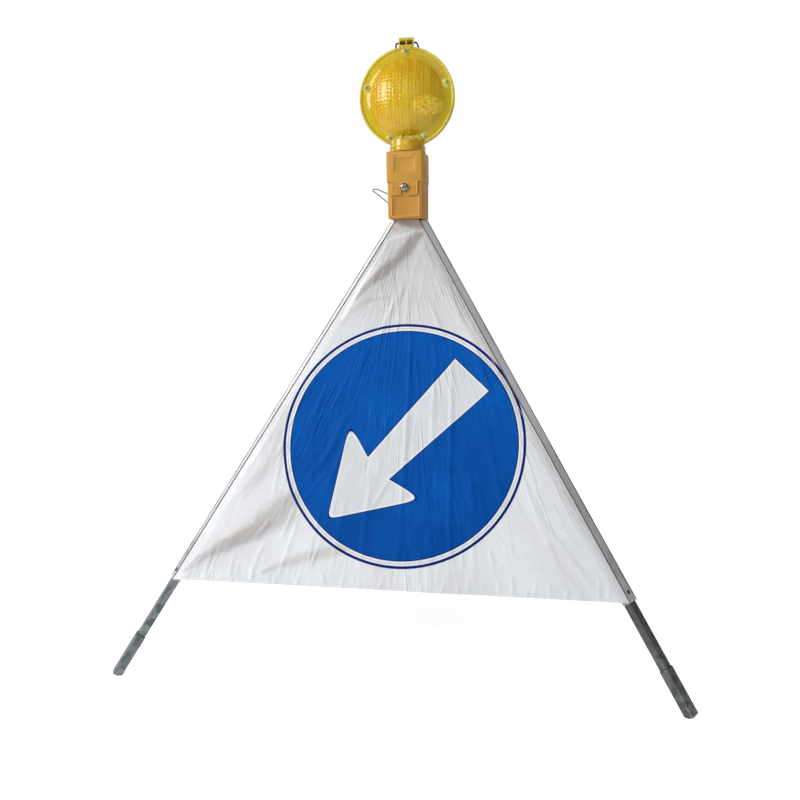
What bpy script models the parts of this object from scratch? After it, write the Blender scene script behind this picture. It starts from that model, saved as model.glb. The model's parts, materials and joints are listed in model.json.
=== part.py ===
"""Roll-up warning sign: three channel legs hinged to a hub, a cloth cover and a flashing lamp.

Metres, +Z up. The front face of the cover looks along -Y. The origin is on the ground, under the
middle of the space that the open sign takes up. Each leg is modelled in its own frame: x across the
leg, y square to it and outwards, z down along it, with the hub pin at the frame's origin.
"""

import math

import bmesh
import bpy
from mathutils import Matrix, Vector

# Open tripod
LEG_LEAN = math.radians(34.4)
APEX_Z = 0.9438  # height at which the legs' outer faces would meet on the axis
HUB_PIN_RADIUS = 0.040
GAP = 0.0003  # running gap between touching pieces

# Legs and their end sleeves
LEG_WIDTH = 0.020
LEG_DEPTH = 0.015
LEG_WALL = 0.0015
LEG_OVERHANG = 0.008  # leg above its hub pin
LEG_BEND = 0.002
LEG_INNER_BEND = 0.0005
SLEEVE_LENGTH = 0.090
SLEEVE_WALL = 0.0012
SLEEVE_PLUG = 0.012  # solid end of the sleeve
SLEEVE_CORNER = 0.002
SOLE_CUT = 0.0046  # height of the corner planed off to make the sole
MARK_HOLE_RADIUS = 0.0015
MARK_HOLE_PITCH = 0.0127
MARK_HOLES = 3

# Pins
PIN_RADIUS = 0.0025
PIN_HEAD_RADIUS = 0.0042
PIN_HEAD = 0.0010

# Hub, rod, runner, spring
HUB_RADIUS = 0.026
HUB_BELOW = 0.012  # hub below the pins
HUB_ABOVE = 0.013
LUG_RADIUS = 0.0055
ROD_RADIUS = 0.006
ROD_LENGTH = 0.450
ROD_SEAT = 0.017  # rod inside the hub
STOP_RADIUS = 0.0125
STOP_HEIGHT = 0.012
STOP_UP = 0.004  # stop's lower face above the rod's end
RUNNER_RADIUS = 0.012
RUNNER_ABOVE = 0.009  # runner sleeve above its pins
RUNNER_BELOW = 0.022
RUNNER_LUG = 0.006
RUNNER_LUG_ABOVE = 0.007
RUNNER_LUG_ROUND = 0.005
SLOT_PLAY = 0.0135  # the open pivot's slot, below the pin
SPRING_WIRE = 0.0012
SPRING_RADIUS = 0.0088
SPRING_TURNS = 9

# Struts
STRUT_LENGTH = 0.180
STRUT_WIDTH = 0.014
STRUT_DEPTH = 0.010
STRUT_WALL = 0.0015
STRUT_EAR = 0.022  # length of the ears that the web leaves free

# Cover
CLOTH = 0.0008
COVER_ABOVE_PINS = 0.020
POCKET_BEND = 0.002
POCKET_INNER_BEND = 0.001
HEM_Z = 0.185
POCKET_ROOM = 0.0016  # room between the pocket and the leg's sides, for the pin heads
COVER_SCREW_UP = 0.018  # cover screw above the hem, along the leg
COVER_SCREW_RADIUS = 0.0020
COVER_SCREW_HEAD_RADIUS = 0.0042
COVER_SCREW_HEAD = 0.0016
HEAD_TOP = 0.7  # a domed head's flat top, as a share of its radius
HEAD_SIDE = 0.4  # its straight side, as a share of its height

# Lamp bracket and its screws
LAMP_FORWARD = 0.0144  # lamp axis in front of the tripod's axis
BRACKET_WIDTH = 0.030
BRACKET_THICK = 0.004
BRACKET_FOOT = 0.003
BRACKET_HEIGHT = 0.100
BRACKET_SCREW_HEIGHTS = (0.030, 0.075)  # above the bracket's underside
BRACKET_SCREW_RADIUS = 0.0020
BRACKET_SCREW_HEAD_RADIUS = 0.0044
BRACKET_BEND = 0.0075
BRACKET_INNER_BEND = 0.0035
TIE_INSET = 0.0005
HUB_BOLT_RADIUS = 0.0030
HUB_BOLT_HEAD_RADIUS = 0.0055
HUB_BOLT_HEAD = 0.0036
HUB_BOLT_LENGTH = 0.012
LAMP_ROOM = 0.0030  # room between the hub bolt and the battery case

# Battery case
CASE_WIDTH = 0.073
CASE_DEPTH = 0.078
CASE_HEIGHT = 0.0725
CASE_WALL = 0.0020
CASE_FLOOR = 0.0025
CASE_CORNER = 0.0035
CASE_TAPER = 0.980
CASE_PANEL_WIDTH = 0.052
CASE_PANEL_LOW = 0.005
CASE_PANEL_HEIGHT = 0.039
PANEL_DEPTH = 0.0008
BATTERY_ROOM = 0.00125  # room at each side of the battery
BATTERY_FRONT_ROOM = 0.001  # room between the battery and the lock bolt's boss
BATTERY_CORNER = 0.005
BATTERY_HEIGHT = 0.098
BATTERY_SPRING_RADIUS = 0.0050
BATTERY_SPRING_WIRE = 0.0009
BATTERY_SPRING_TURNS = 4

# Upper housing
HOUSING_WIDTH = 0.075
HOUSING_HEIGHT = 0.0605
HOUSING_TOP = 0.003
HOUSING_SHOULDER = 0.003
SKIRT_THICK = 0.0025
SKIRT_WIDTH = 0.053
SKIRT_DROP = 0.0265
SKIRT_LAP = 0.004
TONGUE_CORNER = 0.005
NOTCH_HALF = 0.007
NOTCH_CORNER = 0.002
LABEL_WIDTH = 0.043
LABEL_HEIGHT = 0.026
LABEL_UP = 0.0205
NECK_RADIUS = 0.020
NECK_HEIGHT = 0.009
BOARD_THICK = 0.0016
BOARD_DROP = 0.0125  # board's top face below the inside of the housing's top

# Lock bolt
LOCK_DROP = 0.0110  # bolt below the joint between case and housing
LOCK_RADIUS = 0.0030
LOCK_HEAD_RADIUS = 0.0080
LOCK_HEAD = 0.0060
LOCK_SOCKET = 0.0035
LOCK_SOCKET_RADIUS = 0.0035
LOCK_BOSS_HALF = 0.0060
LOCK_BOSS_DEEP = 0.0062

# Lens, collar and light
LENS_RISE = 0.110  # lens centre above the housing's top
LENS_RADIUS = 0.098
DOME_RADIUS = 0.0775
DOME_HEIGHT = 0.032
LENS_WALL = 0.0025
FLANGE = 0.0045
TOP_SCREW_OUT = 0.0895  # top rim screw from the lens centre
RIM_SCREW_OUT = 0.0865
RIM_SCREW_ANGLES = (165.0, 17.0, 246.0, 295.0)
LENS_SCREWS = ((TOP_SCREW_OUT, 91.0), *((RIM_SCREW_OUT, angle) for angle in RIM_SCREW_ANGLES))
EDGE_BREAK = 0.0008  # small bevel of moulded and turned edges
LENS_SCREW_RADIUS = 0.0016
LENS_SCREW_HEAD_RADIUS = 0.0032
LENS_SCREW_HEAD = 0.0018
BOSS_RADIUS = 0.0052
BOSS_PROUD = 0.0015
BOSS_SUNK = 0.001  # boss's start inside the flange
SEAL_HEIGHT = 0.0015
SEAL_RADIUS = 0.0368
COLLAR_RADIUS = 0.0355
COLLAR_HEIGHT = 0.022
COLLAR_FOOT = 0.0065  # height of the collar's wider foot
STALK_RADIUS = 0.0080
LED_RADIUS = 0.0045
LED_BELOW_CENTRE = 0.012

# Tab and carrying bail
TAB_WIDTH = 0.031
TAB_LOW = 0.094  # tab's lower edge above the lens centre
TAB_HIGH = 0.1175
TAB_THICK = 0.0074
TAB_BAR = 0.0026
TAB_CORNER = 0.002
WINDOW_CORNER = 0.001
WINDOW_BELOW = 0.0022
BAIL_WIRE = 0.00175
BAIL_PIN_UP = 0.1078  # bail hinge above the lens centre
BAIL_REST = math.radians(142)  # bail folded down behind the lens, from upright
BAIL_HALF_WIDTH = 0.036
BAIL_HEIGHT = 0.066
BAIL_SHOULDER = 0.034  # where the bail reaches its full width
BAIL_HIP = 0.012
BAIL_CLEAR = 0.0022  # wire outside the tab
BAIL_STEP = 0.002
BAIL_BENDS = (0.0038, 0.008, 0.012, 0.010)

# Hanging loop
LOOP_WIRE = 0.0012
LOOP_REACH = 0.0680  # tip of the loop from its hinge
LOOP_RISE = 0.024  # tip of the loop above its upper corner
KNUCKLE_RADIUS = 0.0034
KNUCKLE_HEIGHT = 0.021
KNUCKLE_UP = 0.0286  # knuckle's lower end above the bracket's underside
LOOP_BEND = 0.0026
LOOP_KINK = (0.87, 1.11)  # the upper strand's bend, as shares of reach and rise
LOOP_KINK_BEND = 0.010
LOOP_TIP_BEND = 0.0016

# Facets
ROUND = 12
SMALL_ROUND = 10
LENS_ROUND = 40

# Worked out from the sizes above
LEAN_SIN = math.sin(LEG_LEAN)
LEAN_COS = math.cos(LEG_LEAN)
FOOT_RADIUS = APEX_Z * math.tan(LEG_LEAN)
AXIS_Y = -FOOT_RADIUS * (1 - math.cos(math.radians(60))) / 2
PIN_DOWN = (HUB_PIN_RADIUS + LEG_DEPTH / 2 * LEAN_COS) / LEAN_SIN
PIN_Z = APEX_Z - PIN_DOWN * LEAN_COS - LEG_DEPTH / 2 * LEAN_SIN
HUB_TOP_Z = PIN_Z + HUB_ABOVE
RUNNER_PIN_Z = PIN_Z - 2 * STRUT_LENGTH * LEAN_COS
COVER_TOP_Z = PIN_Z + COVER_ABOVE_PINS
BRACKET_Z = HUB_TOP_Z + GAP
CASE_Z = BRACKET_Z + BRACKET_FOOT + GAP + HUB_BOLT_HEAD + LAMP_ROOM
CASE_TOP_Z = CASE_Z + CASE_HEIGHT
HOUSING_Z = CASE_TOP_Z + GAP
HOUSING_TOP_Z = HOUSING_Z + HOUSING_HEIGHT
LENS_Z = HOUSING_TOP_Z + LENS_RISE
LAMP_Y = AXIS_Y - LAMP_FORWARD
CASE_BACK_Y = LAMP_Y + CASE_DEPTH / 2
CASE_FRONT_Y = LAMP_Y - CASE_DEPTH / 2
SKIRT_FRONT_Y = CASE_FRONT_Y - GAP - SKIRT_THICK
LOCK_Z = CASE_TOP_Z - LOCK_DROP
LEGS = (("left", 210.0), ("right", 330.0), ("rear", 90.0))


def clear_scene():
    """Empty the scene that Blender starts with."""
    for item in list(bpy.data.objects):
        bpy.data.objects.remove(item, do_unlink=True)


def collection(name):
    """A new collection in the scene."""
    group = bpy.data.collections.new(name)
    bpy.context.scene.collection.children.link(group)
    return group


clear_scene()
PARTS = collection("roll_up_warning_sign")
CUTTERS = collection("cutters")


def material(name, colour, roughness, metallic=0.0, transmission=0.0):
    """A Principled material with the piece's colour."""
    made = bpy.data.materials.new(name)
    made.use_nodes = True
    shader = made.node_tree.nodes["Principled BSDF"]
    shader.inputs["Base Color"].default_value = (*colour, 1.0)
    shader.inputs["Roughness"].default_value = roughness
    shader.inputs["Metallic"].default_value = metallic
    shader.inputs["Transmission Weight"].default_value = transmission
    return made


def empty(name, matrix, parent=None):
    """A named frame that pieces are parented to, such as a hinge axis."""
    frame = bpy.data.objects.new(name, None)
    frame.empty_display_size = 0.02
    PARTS.objects.link(frame)
    frame.parent = parent
    frame.matrix_basis = parent_inverse(parent) @ matrix
    bpy.context.view_layer.update()
    return frame


def parent_inverse(parent):
    """The inverse of a parent's place, or no change for none."""
    return parent.matrix_world.inverted() if parent else Matrix()


def add_object(name, mesh, matrix, parent=None, finish=None):
    """Put a mesh in the scene: a part where it has a finish, otherwise a tool for a Boolean."""
    piece = bpy.data.objects.new(name, mesh)
    if finish:
        PARTS.objects.link(piece)
        mesh.materials.append(finish)
    else:
        CUTTERS.objects.link(piece)
        piece.hide_render = True
        piece.display_type = "WIRE"
    piece.parent = parent
    piece.matrix_basis = parent_inverse(parent) @ matrix
    return piece


def shade(mesh, angle=30.0):
    """Smooth shading with sharp edges past an angle."""
    mesh.shade_smooth()
    mesh.set_sharp_from_angle(angle=math.radians(angle))


def arc(centre, radius, start, end, steps):
    """Points along an arc, angles in degrees."""
    turns = [math.radians(start + (end - start) * i / steps) for i in range(steps + 1)]
    return [(centre[0] + radius * math.cos(t), centre[1] + radius * math.sin(t)) for t in turns]


def filleted(corners, steps=3):
    """An outline from (x, y, fillet radius) corners, with each corner rounded."""
    outline = []
    for i, (x, y, radius) in enumerate(corners):
        here = Vector((x, y))
        back = (Vector(corners[i - 1][:2]) - here).normalized()
        on = (Vector(corners[(i + 1) % len(corners)][:2]) - here).normalized()
        if radius <= 0:
            outline.append((x, y))
            continue
        half = back.angle(on) / 2
        centre = here + (back + on).normalized() * radius / math.sin(half)
        first = here + back * radius / math.tan(half) - centre
        last = here + on * radius / math.tan(half) - centre
        turn = first.angle_signed(last)
        for k in range(steps + 1):
            rotated = Matrix.Rotation(-turn * k / steps, 2) @ first
            outline.append(tuple(centre + rotated))
    return outline


def rounded_rectangle(low, high, radius, steps=3):
    """A rectangle's outline with rounded corners."""
    (x0, y0), (x1, y1) = low, high
    return filleted([(x0, y0, radius), (x1, y0, radius), (x1, y1, radius), (x0, y1, radius)], steps)


def prism_mesh(name, outline, depth, taper=1.0, top_round=0.0):
    """A flat outline in x and y, extruded from z = 0 to its depth, as a closed mesh."""
    curve = bpy.data.curves.new(name, "CURVE")
    curve.dimensions = "2D"
    curve.fill_mode = "BOTH"
    curve.extrude = depth / 2
    spline = curve.splines.new("POLY")
    spline.points.add(len(outline) - 1)
    for point, (x, y) in zip(spline.points, outline):
        point.co = (x, y, 0.0, 1.0)
    spline.use_cyclic_u = True
    holder = bpy.data.objects.new(name, curve)
    bpy.context.scene.collection.objects.link(holder)
    graph = bpy.context.evaluated_depsgraph_get()
    mesh = bpy.data.meshes.new_from_object(holder.evaluated_get(graph))
    bpy.data.objects.remove(holder, do_unlink=True)
    mesh.materials.clear()
    work = bmesh.new()
    work.from_mesh(mesh)
    bmesh.ops.remove_doubles(work, verts=work.verts, dist=0.00001)
    bmesh.ops.translate(work, verts=work.verts, vec=(0, 0, depth / 2))
    bmesh.ops.dissolve_limit(work, angle_limit=0.001, verts=work.verts, edges=work.edges)
    if top_round:
        rim = [e for e in work.edges if all(v.co.z > depth * 0.999 for v in e.verts)]
        bmesh.ops.bevel(work, geom=rim, offset=top_round, segments=3, profile=0.5, affect="EDGES")
    if taper != 1.0:
        foot = [v for v in work.verts if v.co.z < depth * 0.001]
        bmesh.ops.scale(work, verts=foot, vec=(taper, taper, 1.0))
    bmesh.ops.recalc_face_normals(work, faces=work.faces)
    work.to_mesh(mesh)
    work.free()
    shade(mesh)
    return mesh


def prism(name, outline, depth, matrix, parent=None, finish=None, taper=1.0, top_round=0.0):
    """An extruded outline as an object."""
    mesh = prism_mesh(name, outline, depth, taper, top_round)
    return add_object(name, mesh, matrix, parent, finish)


def box(name, low, high, matrix=None, parent=None, finish=None):
    """A box between two corners."""
    mesh = bpy.data.meshes.new(name)
    work = bmesh.new()
    bmesh.ops.create_cube(work, size=1.0)
    low, high = Vector(low), Vector(high)
    bmesh.ops.scale(work, verts=work.verts, vec=high - low)
    bmesh.ops.translate(work, verts=work.verts, vec=(low + high) / 2)
    work.to_mesh(mesh)
    work.free()
    return add_object(name, mesh, matrix or Matrix(), parent, finish)


def rod(name, radius, start, end, matrix=None, parent=None, finish=None, facets=ROUND):
    """A round bar between two points, with flat ends."""
    start, end = Vector(start), Vector(end)
    mesh = bpy.data.meshes.new(name)
    work = bmesh.new()
    bmesh.ops.create_cone(
        work,
        cap_ends=True,
        segments=facets,
        radius1=radius,
        radius2=radius,
        depth=(end - start).length,
    )
    turn = (end - start).to_track_quat("Z", "Y").to_matrix().to_4x4()
    place = Matrix.Translation((start + end) / 2) @ turn
    bmesh.ops.transform(work, matrix=place, verts=work.verts)
    work.to_mesh(mesh)
    work.free()
    shade(mesh)
    return add_object(name, mesh, matrix or Matrix(), parent, finish)


def turned(name, profile, matrix, parent=None, finish=None, facets=ROUND):
    """A turned shape about z from (radius, height) points, top to bottom down its outer side."""
    mesh = bpy.data.meshes.new(name)
    ring = profile[0][0] > 0
    edges = [(i, i + 1) for i in range(len(profile) - 1)]
    if ring:
        edges.append((len(profile) - 1, 0))
    mesh.from_pydata([(r, 0.0, h) for r, h in profile], edges, [])
    piece = add_object(name, mesh, matrix, parent, finish)
    screw = piece.modifiers.new("turn", "SCREW")
    screw.axis = "Z"
    screw.steps = facets
    screw.render_steps = facets
    screw.use_merge_vertices = True
    screw.merge_threshold = 0.00001
    return piece


def wire(name, points, radius, matrix, parent, finish, cyclic=False):
    """A round wire along points."""
    curve = bpy.data.curves.new(name, "CURVE")
    curve.dimensions = "3D"
    curve.bevel_depth = radius
    curve.bevel_resolution = 2
    curve.use_fill_caps = not cyclic
    spline = curve.splines.new("POLY")
    spline.points.add(len(points) - 1)
    for point, place in zip(spline.points, points):
        point.co = (*place, 1.0)
    spline.use_cyclic_u = cyclic
    piece = bpy.data.objects.new(name, curve)
    curve.materials.append(finish)
    PARTS.objects.link(piece)
    piece.parent = parent
    piece.matrix_basis = parent_inverse(parent) @ matrix
    return piece


def combine(piece, tool, operation):
    """A Boolean of one object with a tool object."""
    change = piece.modifiers.new(tool.name, "BOOLEAN")
    change.operation = operation
    change.solver = "EXACT"
    change.object = tool


def cut(piece, *tools):
    """Cut tools out of a piece."""
    for tool in tools:
        combine(piece, tool, "DIFFERENCE")


def join(piece, *tools):
    """Join tools to a piece."""
    for tool in tools:
        combine(piece, tool, "UNION")


def frame(x_axis, y_axis, z_axis, origin):
    """A matrix from three axes and an origin."""
    turn = Matrix((x_axis, y_axis, z_axis)).transposed().to_4x4()
    return Matrix.Translation(origin) @ turn


def leg_axes(azimuth):
    """A leg's radial and sideways directions on the ground."""
    angle = math.radians(azimuth)
    out = Vector((math.cos(angle), math.sin(angle), 0.0))
    side = Vector((-math.sin(angle), math.cos(angle), 0.0))
    return out, side


def leg_frame(azimuth):
    """The leg's frame: x across, y outwards, z down the leg, origin on the hub pin."""
    out, side = leg_axes(azimuth)
    up = Vector((0, 0, 1))
    down_leg = LEAN_SIN * out - LEAN_COS * up
    outward = LEAN_COS * out + LEAN_SIN * up
    return frame(side, outward, down_leg, HUB_PIN_RADIUS * out + Vector((0, AXIS_Y, PIN_Z)))


def strut_frame(azimuth):
    """The strut's frame: x across, y outwards and down, z from its leg pin to its runner pin."""
    out, side = leg_axes(azimuth)
    up = Vector((0, 0, 1))
    along = -LEAN_SIN * out - LEAN_COS * up
    outward = LEAN_COS * out - LEAN_SIN * up
    origin = leg_frame(azimuth) @ Vector((0, 0, STRUT_LENGTH))
    return frame(side, outward, along, origin)


def down_leg_at(height, outwards):
    """How far down the leg a line at a distance outwards from the pins reaches a height."""
    return (PIN_Z + outwards * LEAN_SIN - height) / LEAN_COS


STEEL = material("galvanised_steel", (0.42, 0.44, 0.45), 0.45, 0.9)
DARK_STEEL = material("dark_steel", (0.12, 0.12, 0.12), 0.5, 0.8)
CLOTH_WHITE = material("printed_cloth", (0.78, 0.79, 0.80), 0.6)
CASE_YELLOW = material("case_plastic", (0.62, 0.33, 0.05), 0.45)
AMBER = material("amber_lens", (0.75, 0.42, 0.03), 0.15, 0.0, 0.6)
CLEAR_YELLOW = material("clear_yellow", (0.72, 0.55, 0.05), 0.12, 0.0, 0.6)
GREY_SCREW = material("grey_screw", (0.30, 0.30, 0.29), 0.45, 0.7)
BLACK = material("black_wire", (0.02, 0.02, 0.02), 0.4)
RUBBER = material("seal_rubber", (0.25, 0.05, 0.03), 0.8)
BATTERY = material("battery_wrap", (0.10, 0.11, 0.13), 0.5)
BOARD = material("circuit_board", (0.03, 0.18, 0.07), 0.5)

HUB_AXIS = empty("hub_axis", Matrix.Translation((0, AXIS_Y, 0)))
LAMP_AXIS = empty("lamp_axis", Matrix.Translation((0, LAMP_Y, 0)))
AT_AXIS = Matrix.Translation((0, AXIS_Y, 0))
AT_LAMP = Matrix.Translation((0, LAMP_Y, 0))
X_FROM_Z = frame(Vector((0, 1, 0)), Vector((0, 0, 1)), Vector((1, 0, 0)), Vector())
FRONT_FROM_Z = frame(Vector((1, 0, 0)), Vector((0, 0, 1)), Vector((0, -1, 0)), Vector())


def across(outline_frame, width):
    """A frame whose z runs across x, so an outline in y and z is extruded over a width."""
    return outline_frame @ Matrix.Translation((-width / 2, 0, 0)) @ X_FROM_Z


def pin_profile(width):
    """A headed pin through pieces of a width, from its upper head down its outer side."""
    reach = width / 2 + GAP
    top = reach + PIN_HEAD
    return [
        (0.0, top),
        (PIN_HEAD_RADIUS, top),
        (PIN_HEAD_RADIUS, reach),
        (PIN_RADIUS, reach),
        (PIN_RADIUS, -reach),
        (PIN_HEAD_RADIUS, -reach),
        (PIN_HEAD_RADIUS, -top),
        (0.0, -top),
    ]


def add_pin(name, width, place, parent):
    """A headed pin across x at a place in a frame."""
    turned(name, pin_profile(width), place @ X_FROM_Z, parent, STEEL)


def pin_hole(name, width, place, parent):
    """A cutter for a pin's hole across x."""
    reach = width / 2 + PIN_HEAD
    radius = PIN_RADIUS + GAP
    return rod(name, radius, (-reach, 0, 0), (reach, 0, 0), place, parent)


def build_leg(name, azimuth, parent):
    """One channel leg with its end sleeve, hub pin and the holes along its web."""
    place = leg_frame(azimuth)
    half = LEG_WIDTH / 2
    low = -LEG_DEPTH / 2
    high = LEG_DEPTH / 2
    inner = half - LEG_WALL
    channel = [
        (-half, low, 0.0),
        (-inner, low, 0.0),
        (-inner, high - LEG_WALL, LEG_INNER_BEND),
        (inner, high - LEG_WALL, LEG_INNER_BEND),
        (inner, low, 0.0),
        (half, low, 0.0),
        (half, high, LEG_BEND),
        (-half, high, LEG_BEND),
    ]
    room = GAP + SLEEVE_WALL
    sleeve_low = low - room
    corner_z = down_leg_at(-SOLE_CUT, sleeve_low)
    leg_end = corner_z - SLEEVE_PLUG - GAP
    leg = prism(
        f"leg_{name}",
        filleted(channel, 2),
        leg_end + LEG_OVERHANG,
        place @ Matrix.Translation((0, 0, -LEG_OVERHANG)),
        parent,
        STEEL,
    )
    cut(leg, pin_hole(f"{name}_hub_hole", LEG_WIDTH, place, parent))
    strut_place = place @ Matrix.Translation((0, 0, STRUT_LENGTH))
    cut(leg, pin_hole(f"{name}_strut_hole", LEG_WIDTH, strut_place, parent))
    add_pin(f"hub_pin_{name}", LEG_WIDTH, place, parent)
    outer = high + GAP + CLOTH
    hem = down_leg_at(HEM_Z, outer)
    for i in range(MARK_HOLES):
        z = hem + MARK_HOLE_PITCH * (i + 1)
        start, end = (0, high - LEG_WALL - GAP, z), (0, high + GAP, z)
        mark = f"{name}_mark_{i}"
        cut(leg, rod(mark, MARK_HOLE_RADIUS, start, end, place, parent, None, SMALL_ROUND))
    screw_z = hem - COVER_SCREW_UP
    hole = COVER_SCREW_RADIUS + GAP
    start, end = (0, high - LEG_WALL - GAP, screw_z), (0, outer + GAP, screw_z)
    screw_hole = rod(f"{name}_screw_hole", hole, start, end, place, parent)
    cut(leg, screw_hole)
    build_sleeve(name, place, corner_z, parent)
    build_pocket(name, place, hem, screw_hole, parent)
    build_cover_screw(name, place, screw_z, parent)
    return leg


def build_sleeve(name, place, corner_z, parent):
    """The sleeve over the leg's end: a solid plug with a flat sole, and a tube up over the leg."""
    half = LEG_WIDTH / 2 + GAP + SLEEVE_WALL
    low = -LEG_DEPTH / 2 - GAP - SLEEVE_WALL
    high = LEG_DEPTH / 2 + GAP + SLEEVE_WALL
    outline = rounded_rectangle((-half, low), (half, high), SLEEVE_CORNER)
    start = place @ Matrix.Translation((0, 0, corner_z - SLEEVE_LENGTH))
    sleeve = prism(f"foot_sleeve_{name}", outline, SLEEVE_LENGTH, start, parent, STEEL)
    bore = rounded_rectangle(
        (-half + SLEEVE_WALL, low + SLEEVE_WALL),
        (half - SLEEVE_WALL, high - SLEEVE_WALL),
        0.0,
    )
    deep = SLEEVE_LENGTH - SLEEVE_PLUG
    above = place @ Matrix.Translation((0, 0, corner_z - SLEEVE_LENGTH - GAP))
    cut(sleeve, prism(f"{name}_sleeve_bore", bore, deep + GAP, above, parent))
    foot = place @ Vector((0, 0, corner_z))
    reach = SLEEVE_LENGTH
    low_corner = (foot.x - reach, foot.y - reach, -reach)
    high_corner = (foot.x + reach, foot.y + reach, 0.0)
    cut(sleeve, box(f"{name}_ground", low_corner, high_corner))


def build_pocket(name, place, hem, screw_hole, parent):
    """The cloth pocket along a leg, open inwards."""
    outer = LEG_DEPTH / 2 + GAP + CLOTH
    half = LEG_WIDTH / 2 + POCKET_ROOM + CLOTH
    low = -LEG_DEPTH / 2
    inner = half - CLOTH
    outline = [
        (-half, low, 0.0),
        (-inner, low, 0.0),
        (-inner, outer - CLOTH, POCKET_INNER_BEND),
        (inner, outer - CLOTH, POCKET_INNER_BEND),
        (inner, low, 0.0),
        (half, low, 0.0),
        (half, outer, POCKET_BEND),
        (-half, outer, POCKET_BEND),
    ]
    top = down_leg_at(COVER_TOP_Z, outer)
    start = place @ Matrix.Translation((0, 0, top))
    pocket = prism(f"cover_pocket_{name}", filleted(outline, 2), hem - top, start, parent, CLOTH_WHITE)
    cut(pocket, screw_hole)


def build_cover_screw(name, place, screw_z, parent):
    """The screw that holds the cover on its leg, with its tail clenched inside the channel."""
    web = LEG_DEPTH / 2
    seat = web + GAP + CLOTH + GAP
    tail = web - LEG_WALL - GAP
    profile = [
        (0.0, seat + COVER_SCREW_HEAD),
        (COVER_SCREW_HEAD_RADIUS * HEAD_TOP, seat + COVER_SCREW_HEAD),
        (COVER_SCREW_HEAD_RADIUS, seat + COVER_SCREW_HEAD * HEAD_SIDE),
        (COVER_SCREW_HEAD_RADIUS, seat),
        (COVER_SCREW_RADIUS, seat),
        (COVER_SCREW_RADIUS, tail),
        (COVER_SCREW_HEAD_RADIUS, tail),
        (COVER_SCREW_HEAD_RADIUS, tail - COVER_SCREW_HEAD),
        (0.0, tail - COVER_SCREW_HEAD),
    ]
    up_y = frame(Vector((0, 0, 1)), Vector((1, 0, 0)), Vector((0, 1, 0)), Vector((0, 0, screw_z)))
    turned(f"cover_screw_{name}", profile, place @ up_y, parent, DARK_STEEL)


def build_strut(name, azimuth, parent):
    """A channel strut from the leg to the runner, with rounded ears, and its two pins."""
    place = strut_frame(azimuth)
    end = STRUT_DEPTH / 2
    side = arc((0.0, STRUT_LENGTH), end, 0, 180, 6) + arc((0.0, 0.0), end, 180, 360, 6)
    strut = prism(f"strut_{name}", side, STRUT_WIDTH, across(place, STRUT_WIDTH), parent, STEEL)
    inner = STRUT_WIDTH / 2 - STRUT_WALL
    low, high = -STRUT_DEPTH, STRUT_DEPTH
    web = end - STRUT_WALL
    trough = box(
        f"{name}_strut_trough",
        (-inner, low, -STRUT_LENGTH),
        (inner, web, 2 * STRUT_LENGTH),
        place,
        parent,
    )
    leg_ears = box(f"{name}_strut_top", (-inner, low, -high), (inner, high, STRUT_EAR), place, parent)
    runner_ears = box(
        f"{name}_strut_foot",
        (-inner, low, STRUT_LENGTH - STRUT_EAR),
        (inner, high, STRUT_LENGTH + high),
        place,
        parent,
    )
    far = place @ Matrix.Translation((0, 0, STRUT_LENGTH))
    cut(strut, trough, leg_ears, runner_ears)
    cut(strut, pin_hole(f"{name}_strut_pin_hole", STRUT_WIDTH, place, parent))
    cut(strut, pin_hole(f"{name}_runner_pin_hole", STRUT_WIDTH, far, parent))
    add_pin(f"runner_pin_{name}", STRUT_WIDTH, far, parent)


def build_hub(parent):
    """The hub: a disc with a lug for each leg, bored for the rod and the bolt."""
    bottom, top = PIN_Z - HUB_BELOW, PIN_Z + HUB_ABOVE
    hub = rod("hub", HUB_RADIUS, (0, 0, bottom), (0, 0, top), AT_AXIS, parent, STEEL, 24)
    width = LEG_WIDTH - 2 * LEG_WALL - 2 * GAP
    for name, azimuth in LEGS:
        out, side = leg_axes(azimuth)
        up = Vector((0, 0, 1))
        place = frame(side, out, up, Vector((0, AXIS_Y, PIN_Z)))
        nose = arc((HUB_PIN_RADIUS, 0.0), LUG_RADIUS, -90, 90, 6)
        lug = [*nose, (0.0, LUG_RADIUS), (0.0, -LUG_RADIUS)]
        join(hub, prism(f"{name}_lug", lug, width, across(place, width), parent))
        hole = place @ Matrix.Translation((0, HUB_PIN_RADIUS, 0))
        cut(hub, pin_hole(f"{name}_lug_hole", width, hole, parent))
    rod_top = bottom + ROD_SEAT
    cut(hub, rod("rod_seat", ROD_RADIUS + GAP, (0, 0, bottom - GAP), (0, 0, rod_top), AT_AXIS, parent))
    bolt = HUB_BOLT_RADIUS + GAP
    cut(hub, rod("bolt_bore", bolt, (0, 0, bottom), (0, 0, top + GAP), AT_AXIS, parent))


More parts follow.
